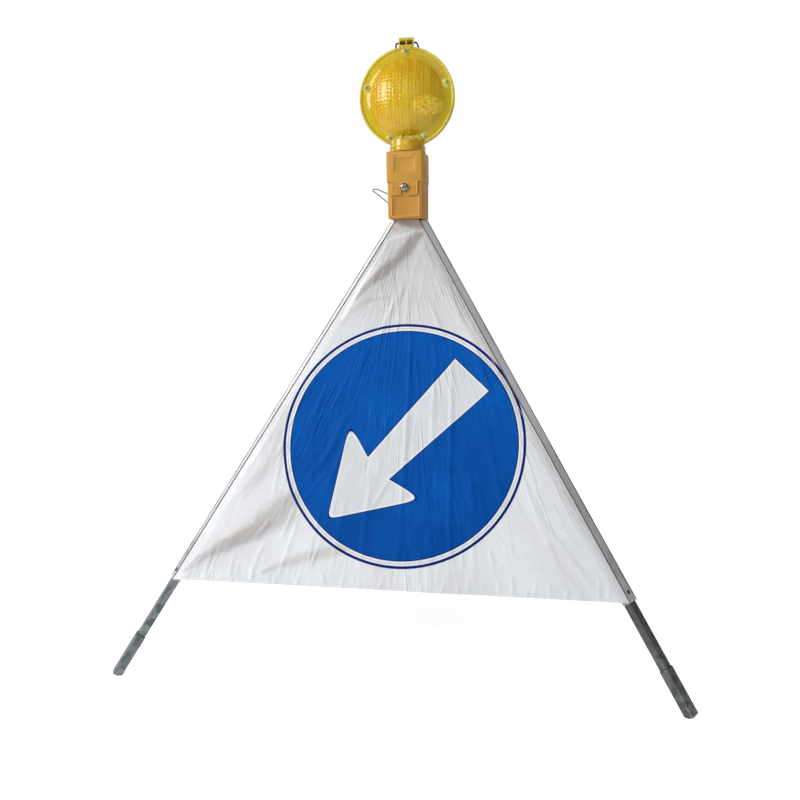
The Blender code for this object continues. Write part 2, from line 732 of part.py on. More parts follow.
def build_centre(parent):
    """The centre rod under the hub, its end stop, the opening spring and the hub bolt."""
    bottom = PIN_Z - HUB_BELOW
    rod_top = bottom + ROD_SEAT - GAP
    rod_end = rod_top - ROD_LENGTH
    bolt_top = BRACKET_Z + BRACKET_FOOT + GAP
    bolt_end = bolt_top - HUB_BOLT_LENGTH
    centre = rod("centre_rod", ROD_RADIUS, (0, 0, rod_end), (0, 0, rod_top), AT_AXIS, parent, STEEL)
    bore = HUB_BOLT_RADIUS + GAP
    low = bolt_end - GAP
    cut(centre, rod("rod_bore", bore, (0, 0, low), (0, 0, rod_top + GAP), AT_AXIS, parent))
    profile = [
        (0.0, bolt_top + HUB_BOLT_HEAD),
        (HUB_BOLT_HEAD_RADIUS, bolt_top + HUB_BOLT_HEAD),
        (HUB_BOLT_HEAD_RADIUS, bolt_top),
        (HUB_BOLT_RADIUS, bolt_top),
        (HUB_BOLT_RADIUS, bolt_end),
        (0.0, bolt_end),
    ]
    turned("hub_bolt", profile, AT_AXIS, parent, GREY_SCREW)
    stop_low = rod_end + STOP_UP
    stop_top = stop_low + STOP_HEIGHT
    inner = ROD_RADIUS + GAP
    collar = [(STOP_RADIUS, stop_top), (STOP_RADIUS, stop_low), (inner, stop_low), (inner, stop_top)]
    turned("rod_stop", collar, AT_AXIS, parent, DARK_STEEL)
    foot = stop_top + SPRING_WIRE + GAP
    top = RUNNER_PIN_Z - RUNNER_BELOW - SPRING_WIRE - GAP
    points = coil(SPRING_RADIUS, foot, top, SPRING_TURNS)
    wire("opening_spring", points, SPRING_WIRE, AT_AXIS, parent, STEEL)


def coil(radius, bottom, top, turns, steps=12):
    """Points up a helix."""
    count = turns * steps
    points = []
    for i in range(count + 1):
        angle = 2 * math.pi * i / steps
        height = bottom + (top - bottom) * i / count
        points.append((radius * math.cos(angle), radius * math.sin(angle), height))
    return points


def build_runner(parent):
    """The runner on the rod, with a slotted lug for each strut: the linkage's open pivot."""
    top = RUNNER_PIN_Z + RUNNER_ABOVE
    low = RUNNER_PIN_Z - RUNNER_BELOW
    runner = rod("runner", RUNNER_RADIUS, (0, 0, low), (0, 0, top), AT_AXIS, parent, DARK_STEEL, 24)
    slot_half = PIN_RADIUS + GAP
    lug_low = -SLOT_PLAY - slot_half - (RUNNER_LUG_ABOVE - slot_half)
    for name, azimuth in LEGS:
        out, side = leg_axes(azimuth)
        place = frame(side, out, Vector((0, 0, 1)), Vector((0, AXIS_Y, RUNNER_PIN_Z)))
        end = HUB_PIN_RADIUS + RUNNER_LUG_ABOVE
        lug = filleted(
            [
                (0.0, lug_low, 0.0),
                (end, lug_low, RUNNER_LUG_ROUND),
                (end, RUNNER_LUG_ABOVE, RUNNER_LUG_ROUND),
                (0.0, RUNNER_LUG_ABOVE, 0.0),
            ]
        )
        join(runner, prism(f"{name}_runner_lug", lug, RUNNER_LUG, across(place, RUNNER_LUG), parent))
        slot = arc((HUB_PIN_RADIUS, 0.0), slot_half, 0, 180, 4)
        slot += arc((HUB_PIN_RADIUS, -SLOT_PLAY), slot_half, 180, 360, 4)
        wide = RUNNER_LUG + 2 * GAP
        cut(runner, prism(f"{name}_slot", slot, wide, across(place, wide), parent))
    bore = ROD_RADIUS + GAP
    cut(runner, rod("runner_bore", bore, (0, 0, low - GAP), (0, 0, top + GAP), AT_AXIS, parent))


def build_face(azimuth, sides):
    """One face of the cover, as two half panels that meet at the fold down its middle."""
    middle = math.radians(azimuth)
    out = Vector((math.cos(middle), math.sin(middle), 0.0))
    along = Vector((-math.sin(middle), math.cos(middle), 0.0))
    for name, leg_azimuth, side in sides:
        place = leg_frame(leg_azimuth)
        outer = LEG_DEPTH / 2 + GAP + CLOTH
        half = LEG_WIDTH / 2 + POCKET_ROOM + CLOTH
        corners = []
        for height in (HEM_Z, COVER_TOP_Z):
            corners.append(place @ Vector((side * half, outer, down_leg_at(height, outer))))
        foot, top = corners
        centre = Vector((0, AXIS_Y, 0))
        foot_out, top_out = (foot - centre).dot(out), (top - centre).dot(out)
        up = (out * (top_out - foot_out) + Vector((0, 0, COVER_TOP_Z - HEM_Z))).normalized()
        normal = along.cross(up)
        origin = centre + out * foot_out + Vector((0, 0, HEM_Z))
        face = frame(along, up, normal, origin - normal * CLOTH)
        edge = (GAP + CLOTH * math.cos(math.radians(30))) / math.sin(math.radians(30))
        fold = -side * GAP / 2
        low_x = (foot - origin).dot(along) + side * edge
        high_x = (top - origin).dot(along) + side * edge
        tall = (top - origin).dot(up)
        outline = [(low_x, 0.0), (fold, 0.0), (fold, tall), (high_x, tall)]
        if side < 0:
            outline.reverse()
        parent = LEG_EMPTIES[leg_azimuth]
        prism(name, outline, CLOTH, face, parent, CLOTH_WHITE)


def build_bracket(parent):
    """The steel bracket on the hub that carries the battery case, with the loop's knuckle."""
    back = CASE_BACK_Y + GAP
    half = BRACKET_WIDTH / 2
    low, high = BRACKET_Z, BRACKET_Z + BRACKET_HEIGHT
    front = AXIS_Y - HUB_RADIUS / 2
    outline = filleted(
        [
            (front, low, 0.0),
            (back + BRACKET_THICK, low, BRACKET_BEND),
            (back + BRACKET_THICK, high, 0.0),
            (back, high, 0.0),
            (back, low + BRACKET_FOOT, BRACKET_INNER_BEND),
            (front, low + BRACKET_FOOT, 0.0),
        ]
    )
    bracket = prism("lamp_bracket", outline, BRACKET_WIDTH, across(Matrix(), BRACKET_WIDTH), parent, STEEL)
    knuckle_x = -half - KNUCKLE_RADIUS - GAP
    knuckle_y = back + KNUCKLE_RADIUS
    bottom = low + KNUCKLE_UP
    top = bottom + KNUCKLE_HEIGHT
    place = Matrix.Translation((knuckle_x, knuckle_y, 0))
    join(bracket, rod("knuckle", KNUCKLE_RADIUS, (0, 0, bottom), (0, 0, top), place, parent))
    tie_low = (-half - KNUCKLE_RADIUS, back + TIE_INSET, bottom + GAP)
    tie_high = (-half + GAP, back + BRACKET_THICK - TIE_INSET, top - GAP)
    join(bracket, box("knuckle_tie", tie_low, tie_high, None, parent))
    bore = LOOP_WIRE + GAP
    cut(bracket, rod("knuckle_bore", bore, (0, 0, bottom - GAP), (0, 0, top + GAP), place, parent))
    bolt = HUB_BOLT_RADIUS + GAP
    start, end = (0, 0, low - GAP), (0, 0, low + BRACKET_FOOT + GAP)
    cut(bracket, rod("foot_hole", bolt, start, end, AT_AXIS, parent))
    screw = BRACKET_SCREW_RADIUS + GAP
    for i, height in enumerate(BRACKET_SCREW_HEIGHTS):
        z = low + height
        hole_start, hole_end = (0, back - GAP, z), (0, back + BRACKET_THICK + GAP, z)
        cut(bracket, rod(f"bracket_hole_{i}", screw, hole_start, hole_end, None, parent))
    return knuckle_x, knuckle_y, bottom, top


def build_loop(knuckle, parent):
    """The closed wire loop that hangs in the bracket's knuckle and points to the left."""
    x, y, bottom, top = knuckle
    low = bottom - GAP - 2 * LOOP_BEND
    high = top + GAP + LOOP_BEND
    tip_z = high + LOOP_RISE
    outline = filleted(
        [
            (0.0, low, LOOP_BEND),
            (0.0, high, LOOP_BEND),
            (-LOOP_REACH * LOOP_KINK[0], high + LOOP_RISE * LOOP_KINK[1], LOOP_KINK_BEND),
            (-LOOP_REACH, tip_z, LOOP_TIP_BEND),
        ],
        4,
    )
    points = [(px, 0.0, pz) for px, pz in outline]
    wire("hanging_loop", points, LOOP_WIRE, Matrix.Translation((x, y, 0)), parent, STEEL, True)


def build_case(parent):
    """The battery case: an open box with a boss for the lock bolt and a recessed front panel."""
    half_x, half_y = CASE_WIDTH / 2, CASE_DEPTH / 2
    outline = rounded_rectangle((-half_x, -half_y), (half_x, half_y), CASE_CORNER)
    base = AT_LAMP @ Matrix.Translation((0, 0, CASE_Z))
    case = prism("battery_case", outline, CASE_HEIGHT, base, parent, CASE_YELLOW, CASE_TAPER)
    inside = rounded_rectangle(
        (-half_x + CASE_WALL, -half_y + CASE_WALL),
        (half_x - CASE_WALL, half_y - CASE_WALL),
        CASE_CORNER - CASE_WALL,
    )
    floor = base @ Matrix.Translation((0, 0, CASE_FLOOR))
    cut(case, prism("case_cavity", inside, CASE_HEIGHT, floor, parent))
    wall_y = CASE_FRONT_Y + CASE_WALL
    boss_low = (-LOCK_BOSS_HALF, wall_y - GAP, LOCK_Z - LOCK_BOSS_HALF)
    boss_high = (LOCK_BOSS_HALF, wall_y + LOCK_BOSS_DEEP, LOCK_Z + LOCK_BOSS_HALF)
    join(case, box("lock_boss", boss_low, boss_high, None, parent))
    start, end = (0, CASE_FRONT_Y - GAP, LOCK_Z), (0, wall_y + LOCK_BOSS_DEEP + GAP, LOCK_Z)
    cut(case, rod("lock_hole", LOCK_RADIUS + GAP, start, end, None, parent))
    panel_low = (-CASE_PANEL_WIDTH / 2, CASE_FRONT_Y - CASE_WALL, CASE_Z + CASE_PANEL_LOW)
    panel_high = (
        CASE_PANEL_WIDTH / 2,
        CASE_FRONT_Y + PANEL_DEPTH,
        CASE_Z + CASE_PANEL_LOW + CASE_PANEL_HEIGHT,
    )
    cut(case, box("case_panel", panel_low, panel_high, None, parent))
    screw = BRACKET_SCREW_RADIUS + GAP
    for i, height in enumerate(BRACKET_SCREW_HEIGHTS):
        z = BRACKET_Z + height
        inner_y, outer_y = CASE_BACK_Y - CASE_WALL - GAP, CASE_BACK_Y + GAP
        cut(case, rod(f"case_hole_{i}", screw, (0, inner_y, z), (0, outer_y, z), None, parent))
        add_bracket_screw(f"bracket_screw_{i + 1}", z, parent)


def add_bracket_screw(name, z, parent):
    """A screw through the bracket into the case's back wall."""
    seat = CASE_BACK_Y + GAP + BRACKET_THICK + GAP
    tip = CASE_BACK_Y - CASE_WALL + GAP
    profile = [
        (0.0, seat + LENS_SCREW_HEAD),
        (BRACKET_SCREW_HEAD_RADIUS * HEAD_TOP, seat + LENS_SCREW_HEAD),
        (BRACKET_SCREW_HEAD_RADIUS, seat),
        (BRACKET_SCREW_RADIUS, seat),
        (BRACKET_SCREW_RADIUS, tip),
        (0.0, tip),
    ]
    backwards = frame(Vector((0, 0, 1)), Vector((1, 0, 0)), Vector((0, 1, 0)), Vector((0, 0, z)))
    turned(name, profile, backwards, parent, GREY_SCREW)


def build_battery(parent):
    """The lantern battery against the case's back wall, with its two contact springs."""
    half = CASE_WIDTH / 2 - CASE_WALL - BATTERY_ROOM
    back = CASE_DEPTH / 2 - CASE_WALL - GAP
    front = -CASE_DEPTH / 2 + CASE_WALL + LOCK_BOSS_DEEP + BATTERY_FRONT_ROOM
    outline = rounded_rectangle((-half, front), (half, back), BATTERY_CORNER)
    bottom = CASE_Z + CASE_FLOOR + GAP
    base = AT_LAMP @ Matrix.Translation((0, 0, bottom))
    prism("battery", outline, BATTERY_HEIGHT, base, parent, BATTERY)
    foot = bottom + BATTERY_HEIGHT + GAP + BATTERY_SPRING_WIRE
    board = HOUSING_TOP_Z - HOUSING_TOP - BOARD_DROP - BOARD_THICK
    top = board - GAP - BATTERY_SPRING_WIRE
    middle_y = (front + back) / 2
    for i, x in enumerate((-half / 2, half / 2)):
        place = AT_LAMP @ Matrix.Translation((x, middle_y, 0))
        points = coil(BATTERY_SPRING_RADIUS, foot, top, BATTERY_SPRING_TURNS, 8)
        wire(f"battery_spring_{i + 1}", points, BATTERY_SPRING_WIRE, place, parent, STEEL)


def build_housing(parent):
    """The upper housing: a hood over the battery, with its skirt, neck and label recess."""
    half_x = HOUSING_WIDTH / 2
    front = SKIRT_FRONT_Y - LAMP_Y
    back = CASE_DEPTH / 2
    outline = rounded_rectangle((-half_x, front), (half_x, back), CASE_CORNER)
    base = AT_LAMP @ Matrix.Translation((0, 0, HOUSING_Z))
    housing = prism(
        "upper_housing", outline, HOUSING_HEIGHT, base, parent, CASE_YELLOW, 1.0, HOUSING_SHOULDER
    )
    inside = housing_inside(0.0)
    below = base @ Matrix.Translation((0, 0, -GAP))
    deep = HOUSING_HEIGHT - HOUSING_TOP + GAP
    cut(housing, prism("housing_cavity", inside, deep, below, parent))
    skirt_low = -SKIRT_DROP
    half = SKIRT_WIDTH / 2
    slot_top = LOCK_Z - HOUSING_Z
    notch = arc((0.0, slot_top), NOTCH_HALF, 180, 0, 6)
    skirt = skirt_points(skirt_low, half, notch)
    front_face = Matrix.Translation((0, CASE_FRONT_Y - GAP, HOUSING_Z)) @ FRONT_FROM_Z
    join(housing, prism("skirt", skirt, SKIRT_THICK, front_face, parent))
    neck_low, neck_top = HOUSING_TOP_Z - GAP, HOUSING_TOP_Z + NECK_HEIGHT
    join(housing, rod("neck", NECK_RADIUS, (0, 0, neck_low), (0, 0, neck_top), AT_LAMP, parent, None, 24))
    bore = STALK_RADIUS + GAP
    low, high = HOUSING_TOP_Z - HOUSING_TOP - GAP, neck_top + GAP
    cut(housing, rod("neck_bore", bore, (0, 0, low), (0, 0, high), AT_LAMP, parent))
    label_low = (-LABEL_WIDTH / 2, SKIRT_FRONT_Y - SKIRT_THICK, HOUSING_Z + LABEL_UP)
    label_high = (LABEL_WIDTH / 2, SKIRT_FRONT_Y + PANEL_DEPTH, HOUSING_Z + LABEL_UP + LABEL_HEIGHT)
    cut(housing, box("label_recess", label_low, label_high, None, parent))


def skirt_points(low, half, notch):
    """The skirt's outline: two rounded tongues with the notch for the lock bolt between them."""
    right = [(NOTCH_HALF, low, NOTCH_CORNER), (half, low, TONGUE_CORNER), (half, SKIRT_LAP, 0.0)]
    left = [(-half, SKIRT_LAP, 0.0), (-half, low, TONGUE_CORNER), (-NOTCH_HALF, low, NOTCH_CORNER)]
    corners = right + left + [(x, z, 0.0) for x, z in notch]
    return filleted(corners)


def housing_inside(room):
    """The outline of the housing's inside, less a room all round."""
    half_x = HOUSING_WIDTH / 2 - CASE_WALL - room
    front = SKIRT_FRONT_Y - LAMP_Y + SKIRT_THICK + CASE_WALL + room
    back = CASE_DEPTH / 2 - CASE_WALL - room
    return rounded_rectangle((-half_x, front), (half_x, back), CASE_CORNER - CASE_WALL)


def build_light(parent):
    """The circuit board in the housing, the light stalk on it and the LED at its top."""
    board_top = HOUSING_TOP_Z - HOUSING_TOP - BOARD_DROP
    base = AT_LAMP @ Matrix.Translation((0, 0, board_top - BOARD_THICK))
    prism("circuit_board", housing_inside(GAP), BOARD_THICK, base, parent, BOARD)
    stalk_low, stalk_top = board_top + GAP, LENS_Z - LED_BELOW_CENTRE
    rod("light_stalk", STALK_RADIUS, (0, 0, stalk_low), (0, 0, stalk_top), AT_LAMP, parent, CASE_YELLOW)
    base = stalk_top + GAP
    profile = [(0.0, base + 2 * LED_RADIUS)]
    for r, h in arc((0.0, base + LED_RADIUS), LED_RADIUS, 72, 0, 4):
        profile.append((r, h))
    profile += [(LED_RADIUS, base), (0.0, base)]
    turned("led", profile, AT_LAMP, parent, AMBER)


def build_lock_bolt(parent):
    """The lock bolt in the case's front, with a socket in its head."""
    seat = -SKIRT_FRONT_Y + GAP
    tip = -(CASE_FRONT_Y + CASE_WALL + LOCK_BOSS_DEEP - GAP)
    face = seat + LOCK_HEAD
    profile = [
        (0.0, face - LOCK_SOCKET),
        (LOCK_SOCKET_RADIUS, face - LOCK_SOCKET),
        (LOCK_SOCKET_RADIUS, face),
        (LOCK_HEAD_RADIUS - EDGE_BREAK, face),
        (LOCK_HEAD_RADIUS, face - EDGE_BREAK),
        (LOCK_HEAD_RADIUS, seat),
        (LOCK_RADIUS, seat),
        (LOCK_RADIUS, tip),
        (0.0, tip),
    ]
    place = Matrix.Translation((0, 0, LOCK_Z)) @ FRONT_FROM_Z
    turned("lock_bolt", profile, place, parent, GREY_SCREW, 18)


def lens_profile():
    """The half lens from its apex down its outer side and back up its inner side."""
    sphere = (DOME_RADIUS**2 + (DOME_HEIGHT - FLANGE) ** 2) / (2 * (DOME_HEIGHT - FLANGE))
    centre = DOME_HEIGHT - sphere
    outer_end = math.degrees(math.asin((FLANGE - centre) / sphere))
    inner = sphere - LENS_WALL
    inner_start = math.degrees(math.asin(-centre / inner))
    points = arc((0.0, centre), sphere, 90, outer_end, 6)
    points += [(LENS_RADIUS - EDGE_BREAK, FLANGE), (LENS_RADIUS, FLANGE - EDGE_BREAK), (LENS_RADIUS, 0.0)]
    points += arc((0.0, centre), inner, inner_start, 90, 6)
    points[0] = (0.0, points[0][1])
    points[-1] = (0.0, points[-1][1])
    return points


def build_lens(parent):
    """The two lens halves, the rim screws, the collar and the seal under it."""
    stalk = STALK_RADIUS + GAP
    below = (0, 0, LENS_Z - LENS_RADIUS - stalk)
    stalk_hole = rod("stalk_hole", stalk, below, (0, 0, LENS_Z), AT_LAMP, parent)
    centre = Matrix.Translation((0, LAMP_Y, LENS_Z))
    forwards = centre @ FRONT_FROM_Z @ Matrix.Translation((0, 0, GAP / 2))
    turn_back = Matrix.Rotation(math.pi, 4, "Z")
    backwards = centre @ turn_back @ FRONT_FROM_Z @ Matrix.Translation((0, 0, GAP / 2))
    front = turned("lens_front", lens_profile(), forwards, parent, AMBER, LENS_ROUND)
    rear = turned("lens_rear", lens_profile(), backwards, parent, AMBER, LENS_ROUND)
    cut(front, stalk_hole)
    cut(rear, stalk_hole)
    head_seat = FLANGE + BOSS_PROUD + GAP / 2
    for i, (radius, angle) in enumerate(LENS_SCREWS):
        turn = math.radians(angle)
        place = centre @ Matrix.Translation((radius * math.cos(turn), 0, radius * math.sin(turn)))
        boss = rod(f"boss_{i}", BOSS_RADIUS, (0, -head_seat, 0), (0, -BOSS_SUNK, 0), place, parent)
        join(front, boss)
        back = FLANGE + GAP
        bore = LENS_SCREW_RADIUS + GAP
        hole = rod(f"rim_hole_{i}", bore, (0, -2 * head_seat, 0), (0, back, 0), place, parent)
        cut(front, hole)
        cut(rear, hole)
        seat = head_seat + GAP
        profile = [
            (0.0, seat + LENS_SCREW_HEAD),
            (LENS_SCREW_HEAD_RADIUS * HEAD_TOP, seat + LENS_SCREW_HEAD),
            (LENS_SCREW_HEAD_RADIUS, seat + LENS_SCREW_HEAD * HEAD_SIDE),
            (LENS_SCREW_HEAD_RADIUS, seat),
            (LENS_SCREW_RADIUS, seat),
            (LENS_SCREW_RADIUS, -FLANGE),
            (0.0, -FLANGE),
        ]
        turned(f"lens_screw_{i + 1}", profile, place @ FRONT_FROM_Z, parent, GREY_SCREW)
    build_tab(rear, centre, parent)
    seal_low = HOUSING_TOP_Z + GAP
    seal_top = seal_low + SEAL_HEIGHT
    inner = NECK_RADIUS + GAP
    ring = [(SEAL_RADIUS, seal_top), (SEAL_RADIUS, seal_low), (inner, seal_low), (inner, seal_top)]
    turned("swivel_seal", ring, AT_LAMP, parent, RUBBER, 24)
    low = seal_top + GAP
    top = low + COLLAR_HEIGHT
    ring = [
        (COLLAR_RADIUS, top),
        (COLLAR_RADIUS, low + COLLAR_FOOT + EDGE_BREAK),
        (COLLAR_RADIUS + EDGE_BREAK, low + COLLAR_FOOT),
        (COLLAR_RADIUS + EDGE_BREAK, low),
        (inner, low),
        (inner, top),
    ]
    collar = turned("lens_collar", ring, AT_LAMP, parent, CLEAR_YELLOW, 24)
    half = FLANGE + 2 * GAP
    wide = LENS_RADIUS + GAP
    slot = rod("collar_slot", wide, (0, -half, 0), (0, half, 0), centre, parent, None, LENS_ROUND)
    cut(collar, slot)


def build_tab(rear, centre, parent):
    """The hanging tab on the rear half, with two windows that the bail's ends reach into."""
    half = TAB_WIDTH / 2
    place = centre @ Matrix.Translation((0, TAB_THICK + GAP / 2, 0)) @ FRONT_FROM_Z
    outline = filleted(
        [
            (-half, TAB_LOW, 0.0),
            (half, TAB_LOW, 0.0),
            (half, TAB_HIGH, TAB_CORNER),
            (-half, TAB_HIGH, TAB_CORNER),
        ]
    )
    join(rear, prism("tab", outline, TAB_THICK, place, parent))
    window_low = BAIL_PIN_UP - BAIL_WIRE - WINDOW_BELOW
    window_high = TAB_HIGH - 2 * TAB_BAR
    inner, outer = TAB_BAR / 2, half - TAB_BAR
    for side in (-1, 1):
        x0, x1 = sorted((side * inner, side * outer))
        window = rounded_rectangle((x0, window_low), (x1, window_high), WINDOW_CORNER, 2)
        deep = place @ Matrix.Translation((0, 0, -GAP))
        cut(rear, prism(f"window_{side}", window, TAB_THICK + 2 * GAP, deep, parent))
    middle = TAB_THICK / 2 + GAP / 2
    for side in (-1, 1):
        tip = (side * (half + GAP), middle, BAIL_PIN_UP)
        inside = (side * (outer - GAP), middle, BAIL_PIN_UP)
        cut(rear, rod(f"bail_hole_{side}", BAIL_WIRE + GAP, tip, inside, centre, parent))


def build_bail(parent):
    """The wire carrying bail, folded down behind the lens."""
    half = TAB_WIDTH / 2
    inner = half - TAB_BAR - BAIL_STEP
    wide = half + BAIL_WIRE + BAIL_CLEAR + BAIL_STEP
    hook, hip, shoulder, top = BAIL_BENDS
    right = [
        (BAIL_HALF_WIDTH, BAIL_HEIGHT, top),
        (BAIL_HALF_WIDTH, BAIL_SHOULDER, shoulder),
        (wide + BAIL_STEP, BAIL_HIP, hip),
        (wide, 0.0, hook),
        (inner, 0.0, 0.0),
    ]
    left = [(-x, z, bend) for x, z, bend in reversed(right)]
    outline = filleted(left + right, 4)
    hinge = bail_hinge()
    place = Matrix.Translation(hinge) @ Matrix.Rotation(-BAIL_REST, 4, "X")
    points = [(x, 0.0, z) for x, z in outline]
    wire("carrying_bail", points, BAIL_WIRE, place, parent, BLACK)


def bail_hinge():
    """The bail's hinge point."""
    return Vector((0, LAMP_Y + TAB_THICK / 2 + GAP / 2, LENS_Z + BAIL_PIN_UP))


LEG_EMPTIES = {}


def build_all():
    """Build the whole sign."""
    build_hub(HUB_AXIS)
    build_centre(HUB_AXIS)
    for name, azimuth in LEGS:
        axis = empty(f"{name}_leg_axis", leg_frame(azimuth), HUB_AXIS)
        LEG_EMPTIES[azimuth] = axis
        build_leg(name, azimuth, axis)
        strut_pin_place = leg_frame(azimuth) @ Matrix.Translation((0, 0, STRUT_LENGTH))
        add_pin(f"strut_pin_{name}", LEG_WIDTH, strut_pin_place, axis)
        strut_axis = empty(f"{name}_strut_axis", strut_frame(azimuth), axis)
        build_strut(name, azimuth, strut_axis)
    build_runner(empty("runner_axis", Matrix.Translation((0, AXIS_Y, RUNNER_PIN_Z)), HUB_AXIS))
    build_face(270.0, (("cover_front_left", 210.0, 1), ("cover_front_right", 330.0, -1)))
    build_face(30.0, (("cover_right_front", 330.0, 1), ("cover_right_rear", 90.0, -1)))
    build_face(150.0, (("cover_left_rear", 90.0, 1), ("cover_left_front", 210.0, -1)))
    knuckle = build_bracket(HUB_AXIS)
    loop_axis = empty("loop_axis", Matrix.Translation((knuckle[0], knuckle[1], 0)), HUB_AXIS)
    build_loop(knuckle, loop_axis)
    build_case(HUB_AXIS)
    build_battery(HUB_AXIS)
    build_housing(LAMP_AXIS)
    build_light(LAMP_AXIS)
    lock_axis = empty("lock_axis", Matrix.Translation((0, SKIRT_FRONT_Y, LOCK_Z)), HUB_AXIS)
    build_lock_bolt(lock_axis)
    head_axis = empty("head_axis", Matrix.Translation((0, LAMP_Y, LENS_Z)), LAMP_AXIS)
    build_lens(head_axis)
    build_bail(empty("bail_axis", Matrix.Translation(bail_hinge()), head_axis))


build_all()
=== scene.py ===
"""Looks of the roll-up warning sign: a folding tripod in a printed cloth cover, with a lamp.

Metres, +Z up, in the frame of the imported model: the front face of the cover looks along -Y. Each
sub-assembly is a class that builds its own pieces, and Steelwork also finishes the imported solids.
Each finish is a frozen dataclass that makes one material.
"""

import json
import logging
import math
import random
from dataclasses import dataclass, replace
from enum import Enum
from typing import Callable, Sequence

import bmesh
import bpy
import numpy as np
from mathutils import Matrix, Vector, noise

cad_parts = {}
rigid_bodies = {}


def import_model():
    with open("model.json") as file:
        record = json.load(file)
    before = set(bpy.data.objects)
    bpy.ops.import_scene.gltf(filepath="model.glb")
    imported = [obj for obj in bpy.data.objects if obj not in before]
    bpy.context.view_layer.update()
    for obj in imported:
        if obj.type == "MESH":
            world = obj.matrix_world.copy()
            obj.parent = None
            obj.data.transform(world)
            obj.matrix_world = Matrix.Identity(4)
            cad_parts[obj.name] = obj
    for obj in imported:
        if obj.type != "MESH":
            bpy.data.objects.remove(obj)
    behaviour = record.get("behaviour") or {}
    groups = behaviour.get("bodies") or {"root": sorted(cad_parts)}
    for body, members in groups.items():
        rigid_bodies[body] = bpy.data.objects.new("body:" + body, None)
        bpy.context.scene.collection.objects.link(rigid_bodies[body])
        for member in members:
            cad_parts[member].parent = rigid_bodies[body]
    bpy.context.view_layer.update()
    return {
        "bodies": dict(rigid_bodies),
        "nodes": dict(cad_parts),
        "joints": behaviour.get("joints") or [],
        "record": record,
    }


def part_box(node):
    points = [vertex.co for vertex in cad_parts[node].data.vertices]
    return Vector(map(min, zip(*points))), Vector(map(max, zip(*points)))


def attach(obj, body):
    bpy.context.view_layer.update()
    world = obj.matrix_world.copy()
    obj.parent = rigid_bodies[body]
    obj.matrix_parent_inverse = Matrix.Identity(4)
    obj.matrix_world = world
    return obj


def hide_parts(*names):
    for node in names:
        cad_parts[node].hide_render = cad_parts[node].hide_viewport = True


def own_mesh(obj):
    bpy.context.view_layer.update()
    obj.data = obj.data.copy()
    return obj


LOG = logging.getLogger("warning_sign")

Object = bpy.types.Object
Material = bpy.types.Material
Socket = bpy.types.NodeSocket
Colour = tuple[float, float, float]
Spot = tuple[float, float, float]
Point = tuple[float, float]

SIDES = ((-1, "left"), (1, "right"))
HALVES = (("front", -1.0), ("rear", 1.0))
DOUBLE = 0.000005  # points nearer to each other than this are merged
PLASTIC_IOR = 1.49
LENS_RADIUS = 0.098


def srgb(red: int, green: int, blue: int) -> Colour:
    """The linear colour of a screen colour.

    Args:
        red: Red, 0 to 255.
        green: Green, 0 to 255.
        blue: Blue, 0 to 255.

    Returns:
        Linear red, green and blue.
    """
    scaled = (red / 255, green / 255, blue / 255)
    return tuple(c / 12.92 if c <= 0.04045 else ((c + 0.055) / 1.055) ** 2.4 for c in scaled)


class Leg(Enum):
    """The three legs, each with the direction that it leans in, in degrees from +X."""

    LEFT = 210.0
    RIGHT = 330.0
    REAR = 90.0

    @property
    def word(self) -> str:
        """The leg's word in the names of nodes, bodies and joints."""
        return self.name.lower()


# ---------------------------------------------------------------- shader maths


class Term:
    """A number that varies over a surface, held by a socket, with Python's operators."""

    def __init__(self, recipe: "Recipe", socket: Socket) -> None:
        """Wrap a socket of a recipe's node tree."""
        self.recipe = recipe
        self.socket = socket

    def apply(self, operation: str, *others: "Term | float") -> "Term":
        """A Math node on this term and others."""
        return self.recipe.math(operation, self, *others)

    def __add__(self, other: "Term | float") -> "Term":
        """The sum."""
        return self.apply("ADD", other)

    def __radd__(self, other: "Term | float") -> "Term":
        """The sum."""
        return self.apply("ADD", other)

    def __sub__(self, other: "Term | float") -> "Term":
        """The difference."""
        return self.apply("SUBTRACT", other)

    def __rsub__(self, other: "Term | float") -> "Term":
        """The difference from a number."""
        return self.recipe.math("SUBTRACT", other, self)

    def __mul__(self, other: "Term | float") -> "Term":
        """The product."""
        return self.apply("MULTIPLY", other)

    def __truediv__(self, other: "Term | float") -> "Term":
        """The quotient."""
        return self.apply("DIVIDE", other)

    def __abs__(self) -> "Term":
        """The size without its sign."""
        return self.apply("ABSOLUTE")

    def larger(self, other: "Term | float") -> "Term":
        """The larger of the two."""
        return self.apply("MAXIMUM", other)

    def smaller(self, other: "Term | float") -> "Term":
        """The smaller of the two."""
        return self.apply("MINIMUM", other)

    def rounded_larger(self, other: "Term | float", radius: float) -> "Term":
        """The larger of the two, with the corner between them rounded."""
        return self.apply("SMOOTH_MAX", other, radius)

    def step(self, start: float, end: float) -> "Term":
        """A soft step from 0 at start to 1 at end, which may lie either way round."""
        return self.recipe.step(self, start, end)


